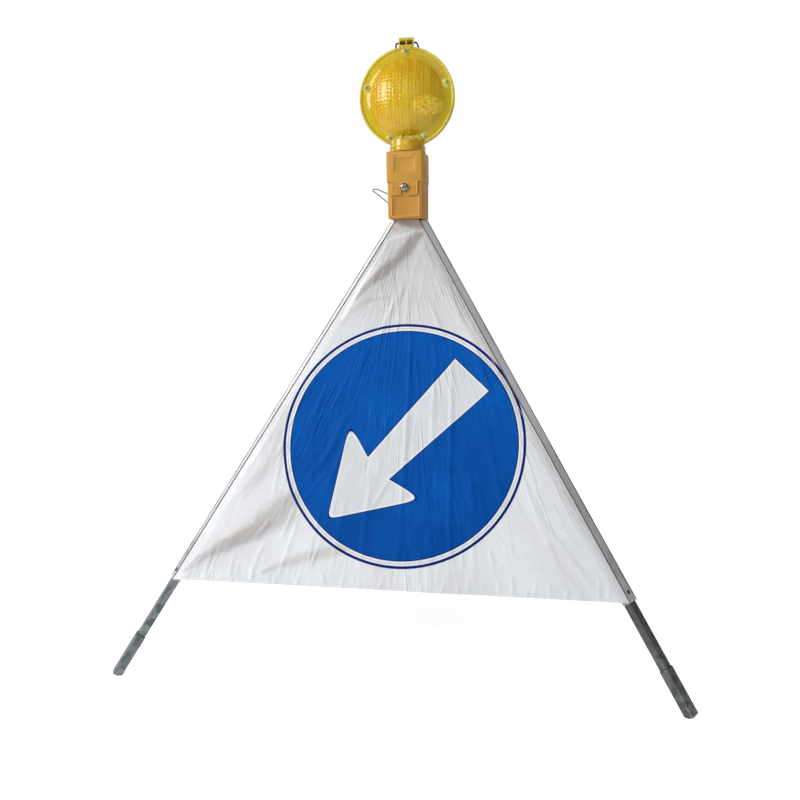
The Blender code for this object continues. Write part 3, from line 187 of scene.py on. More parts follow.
class Recipe:
    """The node tree of one material."""

    def __init__(self, name: str) -> None:
        """Start a material of a name with a Principled shader."""
        self.material = bpy.data.materials.new(name)
        self.material.use_nodes = True
        self.tree = self.material.node_tree
        self.shader = self.tree.nodes["Principled BSDF"]

    def node(self, kind: str, settings: dict | None = None, **values: object) -> bpy.types.Node:
        """A node of a type, with its settings made first and then its sockets' values or links.

        Args:
            kind: The node's type without the word ShaderNode.
            settings: Attributes of the node. The key stops takes a colour ramp's stops.
            values: Socket values, Terms or sockets, by the socket's name with _ for a blank, or by
                its number after the letter i.

        Returns:
            The node.
        """
        made = self.tree.nodes.new("ShaderNode" + kind)
        for key, value in (settings or {}).items():
            if key == "stops":
                self._fill_ramp(made.color_ramp, value)
            else:
                setattr(made, key, value)
        for key, value in values.items():
            if key[0] == "i" and key[1:].isdigit():
                socket = made.inputs[int(key[1:])]
            else:
                socket = made.inputs[key.replace("_", " ")]
            self.feed(socket, value)
        return made

    @staticmethod
    def _fill_ramp(ramp: bpy.types.ColorRamp, stops: Sequence[tuple[float, Colour]]) -> None:
        """Set a colour ramp's stops."""
        while len(ramp.elements) < len(stops):
            ramp.elements.new(0.5)
        for element, (place, colour) in zip(ramp.elements, stops):
            element.position = place
            element.color = (*colour, 1.0)

    def feed(self, socket: Socket, value: object) -> None:
        """Link a socket to a Term or another socket, or set its value."""
        if isinstance(value, Term):
            value = value.socket
        if isinstance(value, Socket):
            self.tree.links.new(value, socket)
            return
        if isinstance(value, tuple) and len(value) == 3 and len(socket.default_value) == 4:
            value = (*value, 1.0)
        socket.default_value = value

    def math(self, operation: str, *values: "Term | float") -> Term:
        """A Math node on values."""
        settings = {"operation": operation}
        inputs = {f"i{i}": value for i, value in enumerate(values)}
        return Term(self, self.node("Math", settings, **inputs).outputs[0])

    def step(self, value: "Term", start: float, end: float) -> Term:
        """A soft step of a term from 0 at start to 1 at end."""
        settings = {"interpolation_type": "SMOOTHSTEP"}
        low, high = sorted((start, end))
        made = self.node("MapRange", settings, Value=value, From_Min=low, From_Max=high)
        term = Term(self, made.outputs["Result"])
        return term if start <= end else 1 - term

    def place(self) -> Socket:
        """Object coordinates, which are metres in the model's frame."""
        return self.node("TexCoord").outputs["Object"]

    def cut_map(self) -> tuple[Term, Term]:
        """The two coordinates of the cloth's own map, in metres on the flat cloth."""
        uv = self.node("UVMap", {"uv_map": "cut"}).outputs["UV"]
        split = self.node("SeparateXYZ", Vector=uv)
        return Term(self, split.outputs["X"]), Term(self, split.outputs["Y"])

    def axes(self) -> tuple[Term, Term, Term]:
        """The three object coordinates."""
        split = self.node("SeparateXYZ", Vector=self.place())
        return tuple(Term(self, split.outputs[axis]) for axis in "XYZ")

    def stretched(self, scale: Spot) -> Socket:
        """Coordinates scaled differently along each axis."""
        return self.node("Mapping", Vector=self.place(), Scale=scale).outputs[0]

    def noise(
        self,
        scale: float,
        detail: float = 3.0,
        rough: float = 0.55,
        source: Socket | None = None,
    ) -> Term:
        """A noise from 0 to 1, with its features per metre."""
        source = source or self.place()
        made = self.node("TexNoise", Vector=source, Scale=scale, Detail=detail, Roughness=rough)
        return Term(self, made.outputs["Fac"])

    def cells(self, scale: float, channel: str) -> Term:
        """A number from 0 to 1 for each cell of a Voronoi texture, from a channel of its colour."""
        made = self.node("TexVoronoi", {"feature": "F1"}, Vector=self.place(), Scale=scale)
        split = self.node("SeparateColor", Color=made.outputs["Color"])
        return Term(self, split.outputs[channel])

    def mix(self, share: Term, first: object, second: object, blend: str = "MIX") -> Socket:
        """A colour between two colours, or a share of another blend of them."""
        settings = {"data_type": "RGBA", "blend_type": blend}
        return self.node("Mix", settings, i0=share, i6=first, i7=second).outputs[2]

    def bump(self, height: Term, depth: float) -> Socket:
        """A bumped normal from a height of 0 to 1 that is depth metres tall."""
        made = self.node("Bump", Strength=1.0, Distance=depth, Height=height)
        return made.outputs["Normal"]

    def finish(self, **sockets: object) -> Material:
        """Set the shader's sockets, by name with _ for a blank, and return the material."""
        for key, value in sockets.items():
            self.feed(self.shader.inputs[key.replace("_", " ")], value)
        return self.material


# ---------------------------------------------------------------- finishes


@dataclass(frozen=True)
class Print:
    """The printed sign on each face: a blue disc in rings, with a white arrow. Sizes in metres."""

    centre: Point = (0.0103, 0.2833)
    radius: float = 0.2423
    navy_ring: float = 0.0054
    white_ring: float = 0.0086
    navy_line: float = 0.0022
    turn: float = math.radians(226.5)  # the way the arrow points, from the face's x axis
    aside: float = 0.0018
    tip: float = 0.2087
    tail: float = -0.1922
    tail_half: float = 0.0471
    neck: float = 0.0675
    neck_half: float = 0.0306
    barb: float = 0.0472
    barb_half: float = 0.1054
    round_tip: float = 0.0243
    round_barb: float = 0.0348
    overlap: float = 0.0130
    white_edge: float = 0.0034
    navy_edge: float = 0.0022
    blur: float = 0.0005

    def disc(self, x: Term, y: Term) -> Term:
        """How far outside the disc's middle a point of the face is."""
        across, up = x - self.centre[0], y - self.centre[1]
        return (across * across + up * up).apply("SQRT")

    def arrow(self, x: Term, y: Term) -> Term:
        """How far outside the arrow's outline a point is: below 0 inside it."""
        across, up = x - self.centre[0], y - self.centre[1]
        c, s = math.cos(self.turn), math.sin(self.turn)
        along = across * c + up * s
        offset = across * -s + up * c - self.aside
        side = abs(offset)
        taper = (self.tail_half - self.neck_half) / (self.neck - self.tail)
        shaft = (side - self.tail_half + (along - self.tail) * taper).larger(self.tail - along)
        shaft = shaft.larger(along - self.neck - self.overlap)
        length = self.tip - self.barb
        slant = math.hypot(length, self.barb_half)
        ahead = (along - self.tip) * self.barb_half
        left_cheek = (offset * length + ahead) / slant
        right_cheek = (ahead - offset * length) / slant
        sweep = (self.neck - self.barb) / (self.barb_half - self.neck_half)
        back = self.barb + (self.barb_half - side) * sweep - along
        head = left_cheek.rounded_larger(right_cheek, self.round_tip)
        return shaft.smaller(head.rounded_larger(back, self.round_barb))


@dataclass(frozen=True)
class PrintedCloth:
    """Coated white cloth with the sign printed on its outer side."""

    name: str = "printed_cloth"
    white: Colour = srgb(226, 229, 233)
    shaded: Colour = srgb(205, 203, 203)
    # painted shade: the face is painted darker towards its top
    handled: Colour = srgb(192, 190, 190)
    handled_up: Point = (0.40, 0.70)  # where on the face it starts and is full
    fold_shade: Colour = (0.66, 0.60, 0.54)
    fold_light: Colour = (0.40, 0.42, 0.44)
    apex: float = 0.793  # where the face's two edges would meet, up it
    blue: Colour = srgb(0, 72, 154)
    blue_worn: Colour = srgb(0, 92, 182)
    navy: Colour = srgb(0, 32, 104)
    arrow: Colour = srgb(212, 216, 220)
    ring: Colour = srgb(226, 229, 233)
    ring_line: Colour = srgb(176, 182, 194)
    thread: float = 0.0011  # the weave's pitch
    lattice: float = 0.0042  # the pitch of the cells in the arrow's reflecting sheet
    relief: float = 0.0018
    rough: float = 0.52
    sign: Print = Print()

    def make(self, printed: bool = True) -> Material:
        """The material, with the print or plain."""
        recipe = Recipe(self.name if printed else self.name + "_plain")
        x, y = recipe.cut_map()
        cloud = recipe.noise(5.0, 4.0, 0.6).step(0.42, 0.72)
        speck = recipe.noise(900.0, 2.0)
        grime = recipe.noise(34.0, 5.0, 0.65).step(0.50, 0.85) * 0.35
        colour = recipe.mix(cloud * 0.5 + grime * 0.4, self.white, self.shaded)
        # painted shade: darker towards the top of the face
        colour = recipe.mix(y.step(*self.handled_up) * 0.75, colour, self.handled)
        if printed:
            colour = self._printed(recipe, x, y, colour)
            colour = self._shaded(recipe, colour)
        colour = recipe.mix(speck.step(0.62, 0.80) * 0.10, colour, self.shaded)
        pitch = 2 * math.pi / self.thread
        weave = (x * pitch).apply("SINE") * (y * pitch).apply("SINE")
        crease = self._creases(recipe, x, y)
        swell = recipe.noise(21.0, 3.0, 0.5)
        height = weave * 0.02 + crease + swell * 0.8
        return recipe.finish(
            Base_Color=colour,
            Roughness=self.rough + cloud * 0.08,
            Normal=recipe.bump(height, self.relief),
            Specular_IOR_Level=0.05,
        )

    def _creases(self, recipe: Recipe, x: Term, y: Term) -> Term:
        """Sharp small creases that fan out from the cover's top, as the cloth is pulled."""
        down = self.apex - y
        turn = x.apply("ARCTAN2", down)
        reach = (x * x + down * down).apply("SQRT")
        total = 0
        for stretch, run, depth in ((13.0, 2.6, 0.60), (27.0, 5.0, 0.32)):
            spot = recipe.node("CombineXYZ", X=turn * stretch, Y=reach * run, Z=depth)
            wave = recipe.noise(1.0, 2.0, 0.5, spot.outputs["Vector"])
            total = abs(wave * 2.0 - 1.0).step(0.10, 0.0) * depth + total
        return total * recipe.noise(7.0, 2.0).step(0.36, 0.66)

    def _shaded(self, recipe: Recipe, colour: Socket) -> Socket:
        """The cloth's colour with its big folds' shade and light, from its own attribute."""
        shade = Term(recipe, recipe.node("Attribute", {"attribute_name": "shade"}).outputs["Fac"])
        dark = recipe.mix(shade.larger(0.0), colour, self.fold_shade, "MULTIPLY")
        return recipe.mix((0 - shade).larger(0.0), dark, self.fold_light, "SCREEN")

    def _printed(self, recipe: Recipe, x: Term, y: Term, cloth: Socket) -> Socket:
        """The sign's colours over the cloth's."""
        sign, blur = self.sign, self.sign.blur
        out = sign.disc(x, y)
        wear = recipe.noise(9.0, 5.0, 0.62).step(0.40, 0.80)
        # the blue is paler in worn patches and darker towards the bottom
        field = recipe.mix(wear * 0.6 + y.step(0.05, 0.45) * 0.4, self.blue, self.blue_worn)
        edge = sign.arrow(x, y)
        navy_arrow = edge.step(sign.navy_edge + blur, sign.navy_edge - blur)
        field = recipe.mix(navy_arrow * 0.85, field, self.navy)
        field = recipe.mix(edge.step(blur, -blur), field, self.ring)
        inner = edge.step(-sign.white_edge + blur, -sign.white_edge - blur)
        field = recipe.mix(inner, field, self._sheeting(recipe, x, y))
        inner_navy = sign.radius - sign.navy_ring - sign.white_ring
        bands = (
            (inner_navy - sign.navy_line, self.navy),
            (inner_navy, self.ring),
            (inner_navy + sign.white_ring * 0.45, self.ring_line),
            (inner_navy + sign.white_ring * 0.60, self.ring),
            (sign.radius - sign.navy_ring, self.navy),
        )
        for start, colour in bands:
            field = recipe.mix(out.step(start - blur, start + blur), field, colour)
        return recipe.mix(out.step(sign.radius - blur, sign.radius + blur), field, cloth)

    def _sheeting(self, recipe: Recipe, x: Term, y: Term) -> Socket:
        """The arrow's reflecting sheet: pale, with a fine lattice of cells."""
        turns = 2 * math.pi / self.lattice
        rising, falling = ((x + y) * turns).apply("SINE"), ((x - y) * turns).apply("SINE")
        lattice = abs(rising).smaller(abs(falling)).step(0.16, 0.0)
        patch = recipe.noise(13.0, 3.0).step(0.45, 0.75)
        pale = recipe.mix(patch * 0.6, self.arrow, self.ring)
        return recipe.mix(lattice * 0.14, pale, self.ring_line)


@dataclass(frozen=True)
class ClothInside:
    """The uncoated inner side of the cover and its pockets."""

    name: str = "cloth_inside"
    colour: Colour = srgb(206, 208, 211)
    shaded: Colour = srgb(188, 188, 190)
    rough: float = 0.80

    def make(self) -> Material:
        """The material."""
        recipe = Recipe(self.name)
        cloud = recipe.noise(7.0, 4.0, 0.6).step(0.40, 0.75)
        weave = recipe.noise(1500.0, 1.0)
        colour = recipe.mix(cloud * 0.7 + weave * 0.15, self.colour, self.shaded)
        normal = recipe.bump(weave * 0.2 + recipe.noise(40.0, 3.0), 0.0010)
        return recipe.finish(Base_Color=colour, Roughness=self.rough, Normal=normal)


@dataclass(frozen=True)
class Thread:
    """Sewing thread."""

    name: str = "sewing_thread"
    colour: Colour = srgb(232, 233, 236)
    shaded: Colour = srgb(196, 197, 203)

    def make(self) -> Material:
        """The material."""
        recipe = Recipe(self.name)
        twist = recipe.noise(2600.0, 1.0)
        colour = recipe.mix(twist, self.colour, self.shaded)
        return recipe.finish(Base_Color=colour, Roughness=0.7, Normal=recipe.bump(twist, 0.0001))


@dataclass(frozen=True)
class GalvanisedSteel:
    """Zinc-coated steel: grey spangle cells and stains, with painted shade that makes the right leg
    darker.
    """

    name: str = "galvanised_steel"
    dark: Colour = srgb(58, 66, 69)
    pale: Colour = srgb(128, 136, 139)
    stain: Colour = srgb(70, 60, 50)
    # painted shade: the right leg is painted darker than the others
    rust: Colour = srgb(62, 50, 42)
    rust_across: Point = (0.10, 0.40)  # the right leg reads darker in the photo
    rust_up: Point = (0.02, 0.20)
    cells_per_metre: float = 95.0
    metallic: float = 0.72
    rough: float = 0.42

    def make(self) -> Material:
        """The material."""
        recipe = Recipe(self.name)
        shade = recipe.cells(self.cells_per_metre, "Red")
        fine = recipe.noise(330.0, 4.0, 0.7)
        cloud = recipe.noise(16.0, 4.0, 0.65)
        tone = shade * 0.42 + fine * 0.30 + cloud * 0.42
        colour = recipe.mix(tone.step(0.22, 0.92), self.dark, self.pale)
        stain = recipe.noise(28.0, 6.0, 0.75).step(0.60, 0.78)
        colour = recipe.mix(stain * 0.55, colour, self.stain)
        x, _, z = recipe.axes()
        # painted shade: darker where x is large, on the right leg, and less near the ground
        worn = x.step(*self.rust_across) * (z.step(*self.rust_up) * 0.45 + 0.30)
        colour = recipe.mix(worn, colour, self.rust)
        scratch = recipe.noise(60.0, 6.0, 0.8, recipe.stretched((9.0, 9.0, 1.0))).step(0.60, 0.72)
        rough = self.rough + shade * 0.12 + stain * 0.18 - scratch * 0.08
        height = shade * 0.25 + fine * 0.5 + scratch * 0.35
        return recipe.finish(
            Base_Color=colour,
            Metallic=self.metallic - stain * 0.35,
            Roughness=rough,
            Normal=recipe.bump(height, 0.00012),
        )


@dataclass(frozen=True)
class MovingSteel:
    """Blackened or bright steel of pins, screws, bolts and springs."""

    name: str
    colour: Colour
    worn: Colour
    rough: float = 0.35
    metallic: float = 0.9

    def make(self) -> Material:
        """The material."""
        recipe = Recipe(self.name)
        brushed = recipe.noise(420.0, 5.0, 0.7)
        spot = recipe.noise(75.0, 4.0, 0.7).step(0.52, 0.75)
        colour = recipe.mix(brushed.step(0.35, 0.75) * 0.6 + spot * 0.4, self.colour, self.worn)
        rough = self.rough + spot * 0.18 + brushed * 0.08
        return recipe.finish(
            Base_Color=colour,
            Metallic=self.metallic - spot * 0.2,
            Roughness=rough,
            Normal=recipe.bump(brushed, 0.00008),
        )


@dataclass(frozen=True)
class MouldedPlastic:
    """Yellow-orange moulded plastic of the lamp's case, faded and rubbed, with a fine texture."""

    name: str = "case_plastic"
    colour: Colour = srgb(192, 144, 44)
    deep: Colour = srgb(184, 122, 40)
    faded: Colour = srgb(198, 154, 66)
    deep_band: Point = (0.975, 0.905)  # heights where the deeper colour starts and is full
    relief: float = 0.00016
    rough: float = 0.48

    def make(self) -> Material:
        """The material."""
        recipe = Recipe(self.name)
        cloud = recipe.noise(38.0, 4.0, 0.6)
        _, _, z = recipe.axes()
        low = z.step(*self.deep_band)
        colour = recipe.mix(low * 0.75 + cloud * 0.2, self.colour, self.deep)
        colour = recipe.mix(cloud.step(0.52, 0.80) * 0.35, colour, self.faded)
        grain = recipe.noise(1700.0, 2.0)
        scuff = recipe.noise(130.0, 6.0, 0.8, recipe.stretched((1.0, 1.0, 3.0))).step(0.62, 0.74)
        colour = recipe.mix(scuff * 0.16, colour, self.faded)
        rough = self.rough + grain * 0.10 + scuff * 0.12
        height = grain * 0.5 + scuff * 0.5 + cloud * 1.5
        normal = recipe.bump(height, self.relief)
        return recipe.finish(Base_Color=colour, Roughness=rough, Normal=normal)


@dataclass(frozen=True)
class AmberPlastic:
    """Clear coloured plastic of the lens's rim and pads and of the collar: light goes through."""

    name: str
    colour: Colour
    deep: Colour
    through: float
    rough: float = 0.08

    def make(self) -> Material:
        """The material."""
        recipe = Recipe(self.name)
        flow = recipe.noise(26.0, 3.0, 0.5, recipe.stretched((1.0, 1.0, 0.35)))
        colour = recipe.mix(flow.step(0.35, 0.75), self.colour, self.deep)
        scuff = recipe.noise(240.0, 5.0, 0.75).step(0.60, 0.76)
        rough = self.rough + scuff * 0.16
        return recipe.finish(
            Base_Color=colour,
            Roughness=rough,
            Transmission_Weight=self.through,
            IOR=PLASTIC_IOR,
            Normal=recipe.bump(flow * 0.8 + scuff * 0.1, 0.0001),
        )


@dataclass(frozen=True)
class LensPlastic:
    """The lens's amber plastic: an olive-yellow flange round an amber dome, with a painted glint of
    faceted cells.
    """

    centre: float  # the lens's axis above the ground
    dome_radius: float = 0.0777
    name: str = "amber_lens"
    dome: Colour = srgb(224, 188, 28)
    dome_deep: Colour = srgb(212, 160, 18)
    flange: Colour = srgb(216, 190, 36)
    flange_deep: Colour = srgb(204, 178, 44)
    glint: Colour = srgb(255, 232, 80)
    ember: Colour = srgb(248, 190, 26)
    glint_at: Point = (0.046, -0.020)
    glint_half: Point = (0.036, 0.022)
    facet: float = 260.0
    rib: float = 0.00725
    through: float = 0.20
    rough: float = 0.06
    edge_blur: float = 0.0005

    def make(self) -> Material:
        """The material."""
        recipe = Recipe(self.name)
        x, _, z = recipe.axes()
        up = z - self.centre
        out = (x * x + up * up).apply("SQRT")
        flow = recipe.noise(60.0, 3.0, 0.5, recipe.stretched((1.0, 1.0, 0.10))).step(0.36, 0.66)
        rib = abs((x * (math.pi / self.rib)).apply("SINE")).step(0.35, 0.0)
        dome = recipe.mix(flow * 0.75 + rib * 0.25, self.dome, self.dome_deep)
        # painted reflection: a patch of bright faceted cells on the dome
        (gx, gz), (hx, hz) = self.glint_at, self.glint_half
        wide, tall = (x - gx) * (x - gx) * (1 / hx**2), (up - gz) * (up - gz) * (1 / hz**2)
        near = (wide + tall).step(1.0, 0.35)
        tone = recipe.cells(self.facet, "Green").step(0.35, 0.65)
        painted_glint_colour = recipe.mix(tone, self.ember, self.glint)
        dome = recipe.mix(near * 0.85, dome, painted_glint_colour)
        # painted shade: the flange darker towards the right, mottled by the flow
        flange = recipe.mix(x.step(-0.07, 0.08) * 0.7 + flow * 0.15, self.flange, self.flange_deep)
        rim = out.step(self.dome_radius - self.edge_blur, self.dome_radius + self.edge_blur)
        colour = recipe.mix(rim, dome, flange)
        scuff = recipe.noise(240.0, 5.0, 0.75).step(0.60, 0.76)
        return recipe.finish(
            Base_Color=colour,
            Roughness=self.rough + scuff * 0.12,
            Transmission_Weight=self.through,
            IOR=PLASTIC_IOR,
            Specular_IOR_Level=0.32,
            Normal=recipe.bump(flow * 0.5 + scuff * 0.1, 0.00012),
        )


@dataclass(frozen=True)
class PlainCoat:
    """A painted, dipped or moulded finish in one colour, mottled and with a fine grain."""

    name: str
    colour: Colour
    worn: Colour
    rough: float = 0.5
    grain: float = 900.0
    metallic: float = 0.0

    def make(self) -> Material:
        """The material."""
        recipe = Recipe(self.name)
        grain = recipe.noise(self.grain, 3.0)
        patch = recipe.noise(90.0, 5.0, 0.7).step(0.50, 0.78)
        colour = recipe.mix(patch * 0.6 + grain * 0.15, self.colour, self.worn)
        rough = self.rough + patch * 0.12
        return recipe.finish(
            Base_Color=colour,
            Metallic=self.metallic,
            Roughness=rough,
            Normal=recipe.bump(grain, 0.0001),
        )


class Finishes:
    """Every finish of the sign, made once."""

    def __init__(self) -> None:
        """Make the materials."""
        self.cloth = PrintedCloth().make()
        self.plain_cloth = PrintedCloth().make(printed=False)
        self.cloth_inside = ClothInside().make()
        self.thread = Thread().make()
        self.galvanised = GalvanisedSteel().make()
        self.dark_steel = MovingSteel(
            "dark_steel", srgb(58, 52, 48), srgb(104, 92, 80), 0.45
        ).make()
        # painted highlight: a lighter plastic for the raised ribs, bolt ring and lip, and for the
        # label recess's right wall
        self.worn_case = MouldedPlastic(
            "case_worn_edge", srgb(226, 178, 80), srgb(218, 160, 72), srgb(232, 190, 104)
        ).make()
        # painted shade: a darker plastic for the recess walls and the steps beside the lock bolt
        self.shade_case = MouldedPlastic(
            "case_recess", srgb(170, 116, 40), srgb(176, 100, 34), srgb(184, 130, 58)
        ).make()
        self.loop = MovingSteel(
            "loop_wire", srgb(112, 110, 102), srgb(70, 60, 50), 0.38, 0.7
        ).make()
        self.rivet = MovingSteel("rivet_steel", srgb(96, 84, 70), srgb(60, 50, 42), 0.4, 0.6).make()
        self.bright = MovingSteel("bolt_steel", srgb(138, 136, 134), srgb(84, 80, 76), 0.16).make()
        self.screw = MovingSteel("grey_screw", srgb(150, 148, 146), srgb(92, 88, 86), 0.30).make()
        self.spring = MovingSteel(
            "spring_steel", srgb(130, 132, 134), srgb(88, 86, 82), 0.32
        ).make()
        self.case = MouldedPlastic().make()
        self.lens = LensPlastic(ends("lens_front")[1].z - LENS_RADIUS).make()
        self.rim = AmberPlastic("lens_rim", srgb(246, 228, 36), srgb(222, 176, 26), 0.35).make()
        self.collar = AmberPlastic(
            "clear_yellow", srgb(248, 214, 40), srgb(240, 192, 30), 0.50
        ).make()
        self.pad = AmberPlastic("screw_pad", srgb(236, 226, 84), srgb(222, 206, 60), 0.40).make()
        self.wire = PlainCoat("black_wire", srgb(7, 7, 8), srgb(26, 24, 24), 0.5).make()
        # painted shade: dark cords along the pockets' outer corners
        self.binding = PlainCoat("cover_binding", srgb(92, 76, 64), srgb(60, 48, 42), 0.8).make()
        self.rubber = PlainCoat("seal_rubber", srgb(140, 62, 28), srgb(104, 44, 24), 0.75).make()
        self.battery = PlainCoat(
            "battery_wrap", srgb(52, 56, 62), srgb(88, 90, 94), 0.4, 300.0
        ).make()
        self.board = PlainCoat(
            "circuit_board", srgb(34, 96, 56), srgb(52, 118, 72), 0.45, 500.0
        ).make()
        self.led = PlainCoat("led_amber", srgb(240, 176, 40), srgb(250, 206, 90), 0.15).make()


# ---------------------------------------------------------------- modelling in edit mode


class Bench:
    """Modelling steps with Blender's own operators, as done by hand."""

    @staticmethod
    def clear() -> None:
        """Leave edit mode and deselect everything."""
        if bpy.context.object and bpy.context.object.mode != "OBJECT":
            bpy.ops.object.mode_set(mode="OBJECT")
        bpy.ops.object.select_all(action="DESELECT")

    @staticmethod
    def pick(piece: Object) -> None:
        """Select one object and make it the active one."""
        Bench.clear()
        piece.hide_set(False)
        piece.select_set(True)
        bpy.context.view_layer.objects.active = piece

    @staticmethod
    def take(name: str) -> Object:
        """Name the object just added, and its mesh."""
        piece = bpy.context.active_object
        piece.name = name
        piece.data.name = name
        return piece

    @staticmethod
    def settle(piece: Object, place: Matrix | None = None) -> Object:
        """Put a place into a piece's mesh, so that its object sits at the origin.

        Args:
            piece: The piece.
            place: The place to move it to before it is settled.

        Returns:
            The piece.
        """
        Bench.pick(piece)
        if place is not None:
            piece.matrix_world = place @ piece.matrix_world
        bpy.context.view_layer.update()
        bpy.ops.object.transform_apply(location=True, rotation=True, scale=True)
        return piece

    @staticmethod
    def select_faces(piece: Object, test: Callable[[Vector], bool]) -> None:
        """In edit mode, select the faces whose middles, in the mesh's own metres, pass a test."""
        bpy.ops.mesh.select_mode(type="FACE")
        bpy.ops.mesh.select_all(action="DESELECT")
        mesh = bmesh.from_edit_mesh(piece.data)
        for face in mesh.faces:
            if test(face.calc_center_median()):
                face.select = True
        mesh.select_flush_mode()
        bmesh.update_edit_mesh(piece.data)

    @staticmethod
    def mend(piece: Object) -> Object:
        """Merge doubles and turn the faces of a closed piece outwards."""
        Bench.pick(piece)
        bpy.ops.object.mode_set(mode="EDIT")
        bpy.ops.mesh.select_all(action="SELECT")
        bpy.ops.mesh.remove_doubles(threshold=DOUBLE)
        bpy.ops.mesh.normals_make_consistent(inside=False)
        bpy.ops.object.mode_set(mode="OBJECT")
        return piece

    @staticmethod
    def smooth(piece: Object, degrees: float) -> Object:
        """Shade smooth, with edges sharper than an angle kept."""
        Bench.pick(piece)
        bpy.ops.object.shade_smooth_by_angle(angle=math.radians(degrees))
        return piece

    @staticmethod
    def modify(piece: Object, kind: str, **settings: object) -> Object:
        """Add a modifier and apply it."""
        Bench.pick(piece)
        change = piece.modifiers.new(kind.lower(), kind)
        for key, value in settings.items():
            setattr(change, key, value)
        bpy.ops.object.modifier_apply(modifier=change.name)
        return piece

    @staticmethod
    def lathe(name: str, profile: Sequence[Point], facets: int) -> Object:
        """A turned shape about z, spun from its profile, which closes on itself or along the axis.

        Args:
            name: The piece's name.
            profile: (radius, height) points in order.
            facets: Facets round it.

        Returns:
            The piece, shaped but not placed.
        """
        Bench.clear()
        bpy.ops.mesh.primitive_circle_add(vertices=len(profile), radius=1.0)
        piece = Bench.take(name)
        for vertex, (radius, height) in zip(piece.data.vertices, profile):
            vertex.co = (radius, 0.0, height)
        bpy.ops.object.mode_set(mode="EDIT")
        bpy.ops.mesh.select_all(action="SELECT")
        bpy.ops.mesh.spin(steps=facets, angle=2 * math.pi, center=(0, 0, 0), axis=(0, 0, 1))
        bpy.ops.mesh.select_all(action="SELECT")
        bpy.ops.mesh.remove_doubles(threshold=DOUBLE)
        bpy.ops.mesh.dissolve_degenerate(threshold=DOUBLE)
        bpy.ops.mesh.select_all(action="SELECT")
        bpy.ops.mesh.delete_loose()
        bpy.ops.object.mode_set(mode="OBJECT")
        return Bench.mend(piece)

    @staticmethod
    def slab(name: str, outline: Sequence[Point], depth: float) -> Object:
        """An outline in x and y, extruded from z = 0 to a depth.

        Args:
            name: The piece's name.
            outline: The corners in order.
            depth: The height of the slab.

        Returns:
            The piece, shaped but not placed.
        """
        Bench.clear()
        bpy.ops.mesh.primitive_circle_add(vertices=len(outline), radius=1.0, fill_type="NGON")
        piece = Bench.take(name)
        for vertex, corner in zip(piece.data.vertices, outline):
            vertex.co = (*corner, 0.0)
        bpy.ops.object.mode_set(mode="EDIT")
        bpy.ops.mesh.select_all(action="SELECT")
        bpy.ops.mesh.extrude_region_move(TRANSFORM_OT_translate={"value": (0, 0, depth)})
        bpy.ops.object.mode_set(mode="OBJECT")
        return Bench.mend(piece)

    @staticmethod
    def cut(piece: Object, tool: Object) -> Object:
        """Cut a tool out of a piece, and remove the tool."""
        Bench.modify(piece, "BOOLEAN", object=tool, operation="DIFFERENCE", solver="EXACT")
        bpy.data.objects.remove(tool, do_unlink=True)
        return piece

    @staticmethod
    def gather(name: str, pieces: Sequence[Object]) -> Object:
        """Join several objects into one of a name."""
        Bench.clear()
        for piece in pieces:
            piece.select_set(True)
        bpy.context.view_layer.objects.active = pieces[0]
        bpy.ops.object.join()
        return Bench.take(name)

    @staticmethod
    def copy(piece: Object, name: str, place: Matrix) -> Object:
        """A settled copy of a piece with a mesh of its own, moved by a matrix."""
        twin = piece.copy()
        twin.data = piece.data.copy()
        twin.name = name
        twin.data.name = name
        bpy.context.scene.collection.objects.link(twin)
        return Bench.settle(twin, place)

    @staticmethod
    def round_edges(piece: Object, width: float, segments: int = 2) -> Object:
        """Round a piece's sharp edges and shade it smooth."""
        limit = {"limit_method": "ANGLE", "angle_limit": math.radians(40.0)}
        Bench.modify(piece, "BEVEL", width=width, segments=segments, **limit)
        return Bench.smooth(Bench.mend(piece), 40.0)


def carry(piece: Object, body: str, finish: Material) -> Object:
    """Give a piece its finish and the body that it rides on."""
    paint(piece, finish)
    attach(piece, body)
    return piece


def rounded(points: Sequence[Spot], steps: int) -> list[Point]:
    """An outline from (x, y, fillet radius) corners, with each corner rounded."""
    outline: list[Point] = []
    for i, (x, y, radius) in enumerate(points):
        here = Vector((x, y))
        back = (Vector(points[i - 1][:2]) - here).normalized()
        on = (Vector(points[(i + 1) % len(points)][:2]) - here).normalized()
        half = back.angle(on) / 2
        centre = here + (back + on).normalized() * radius / math.sin(half)
        first = here + back * radius / math.tan(half) - centre
        last = here + on * radius / math.tan(half) - centre
        turn = first.angle_signed(last)
        for k in range(steps + 1):
            outline.append(tuple(centre + Matrix.Rotation(-turn * k / steps, 2) @ first))
    return outline


def rounded_box(low: Point, high: Point, radius: float, steps: int) -> list[Point]:
    """A rectangle's outline with rounded corners."""
    (x0, y0), (x1, y1) = low, high
    return rounded([(x0, y0, radius), (x1, y0, radius), (x1, y1, radius), (x0, y1, radius)], steps)


def axes_frame(x_axis: Vector, y_axis: Vector, z_axis: Vector, origin: Vector) -> Matrix:
    """A matrix from three axes and an origin."""
    return Matrix.Translation(origin) @ Matrix((x_axis, y_axis, z_axis)).transposed().to_4x4()


def paint(piece: Object, *finishes: Material) -> Object:
    """Give a piece its materials, in place of any it has."""
    piece.data.materials.clear()
    for finish in finishes:
        piece.data.materials.append(finish)
    return piece


def turned(
    name: str,
    profile: Sequence[Point],
    facets: int,
    place: Matrix,
    body: str,
    finish: Material,
) -> Object:
    """A turned piece, shaded smooth, put in its place and finished."""
    piece = Bench.smooth(Bench.lathe(name, profile, facets), 50.0)
    Bench.settle(piece, place)
    return carry(piece, body, finish)


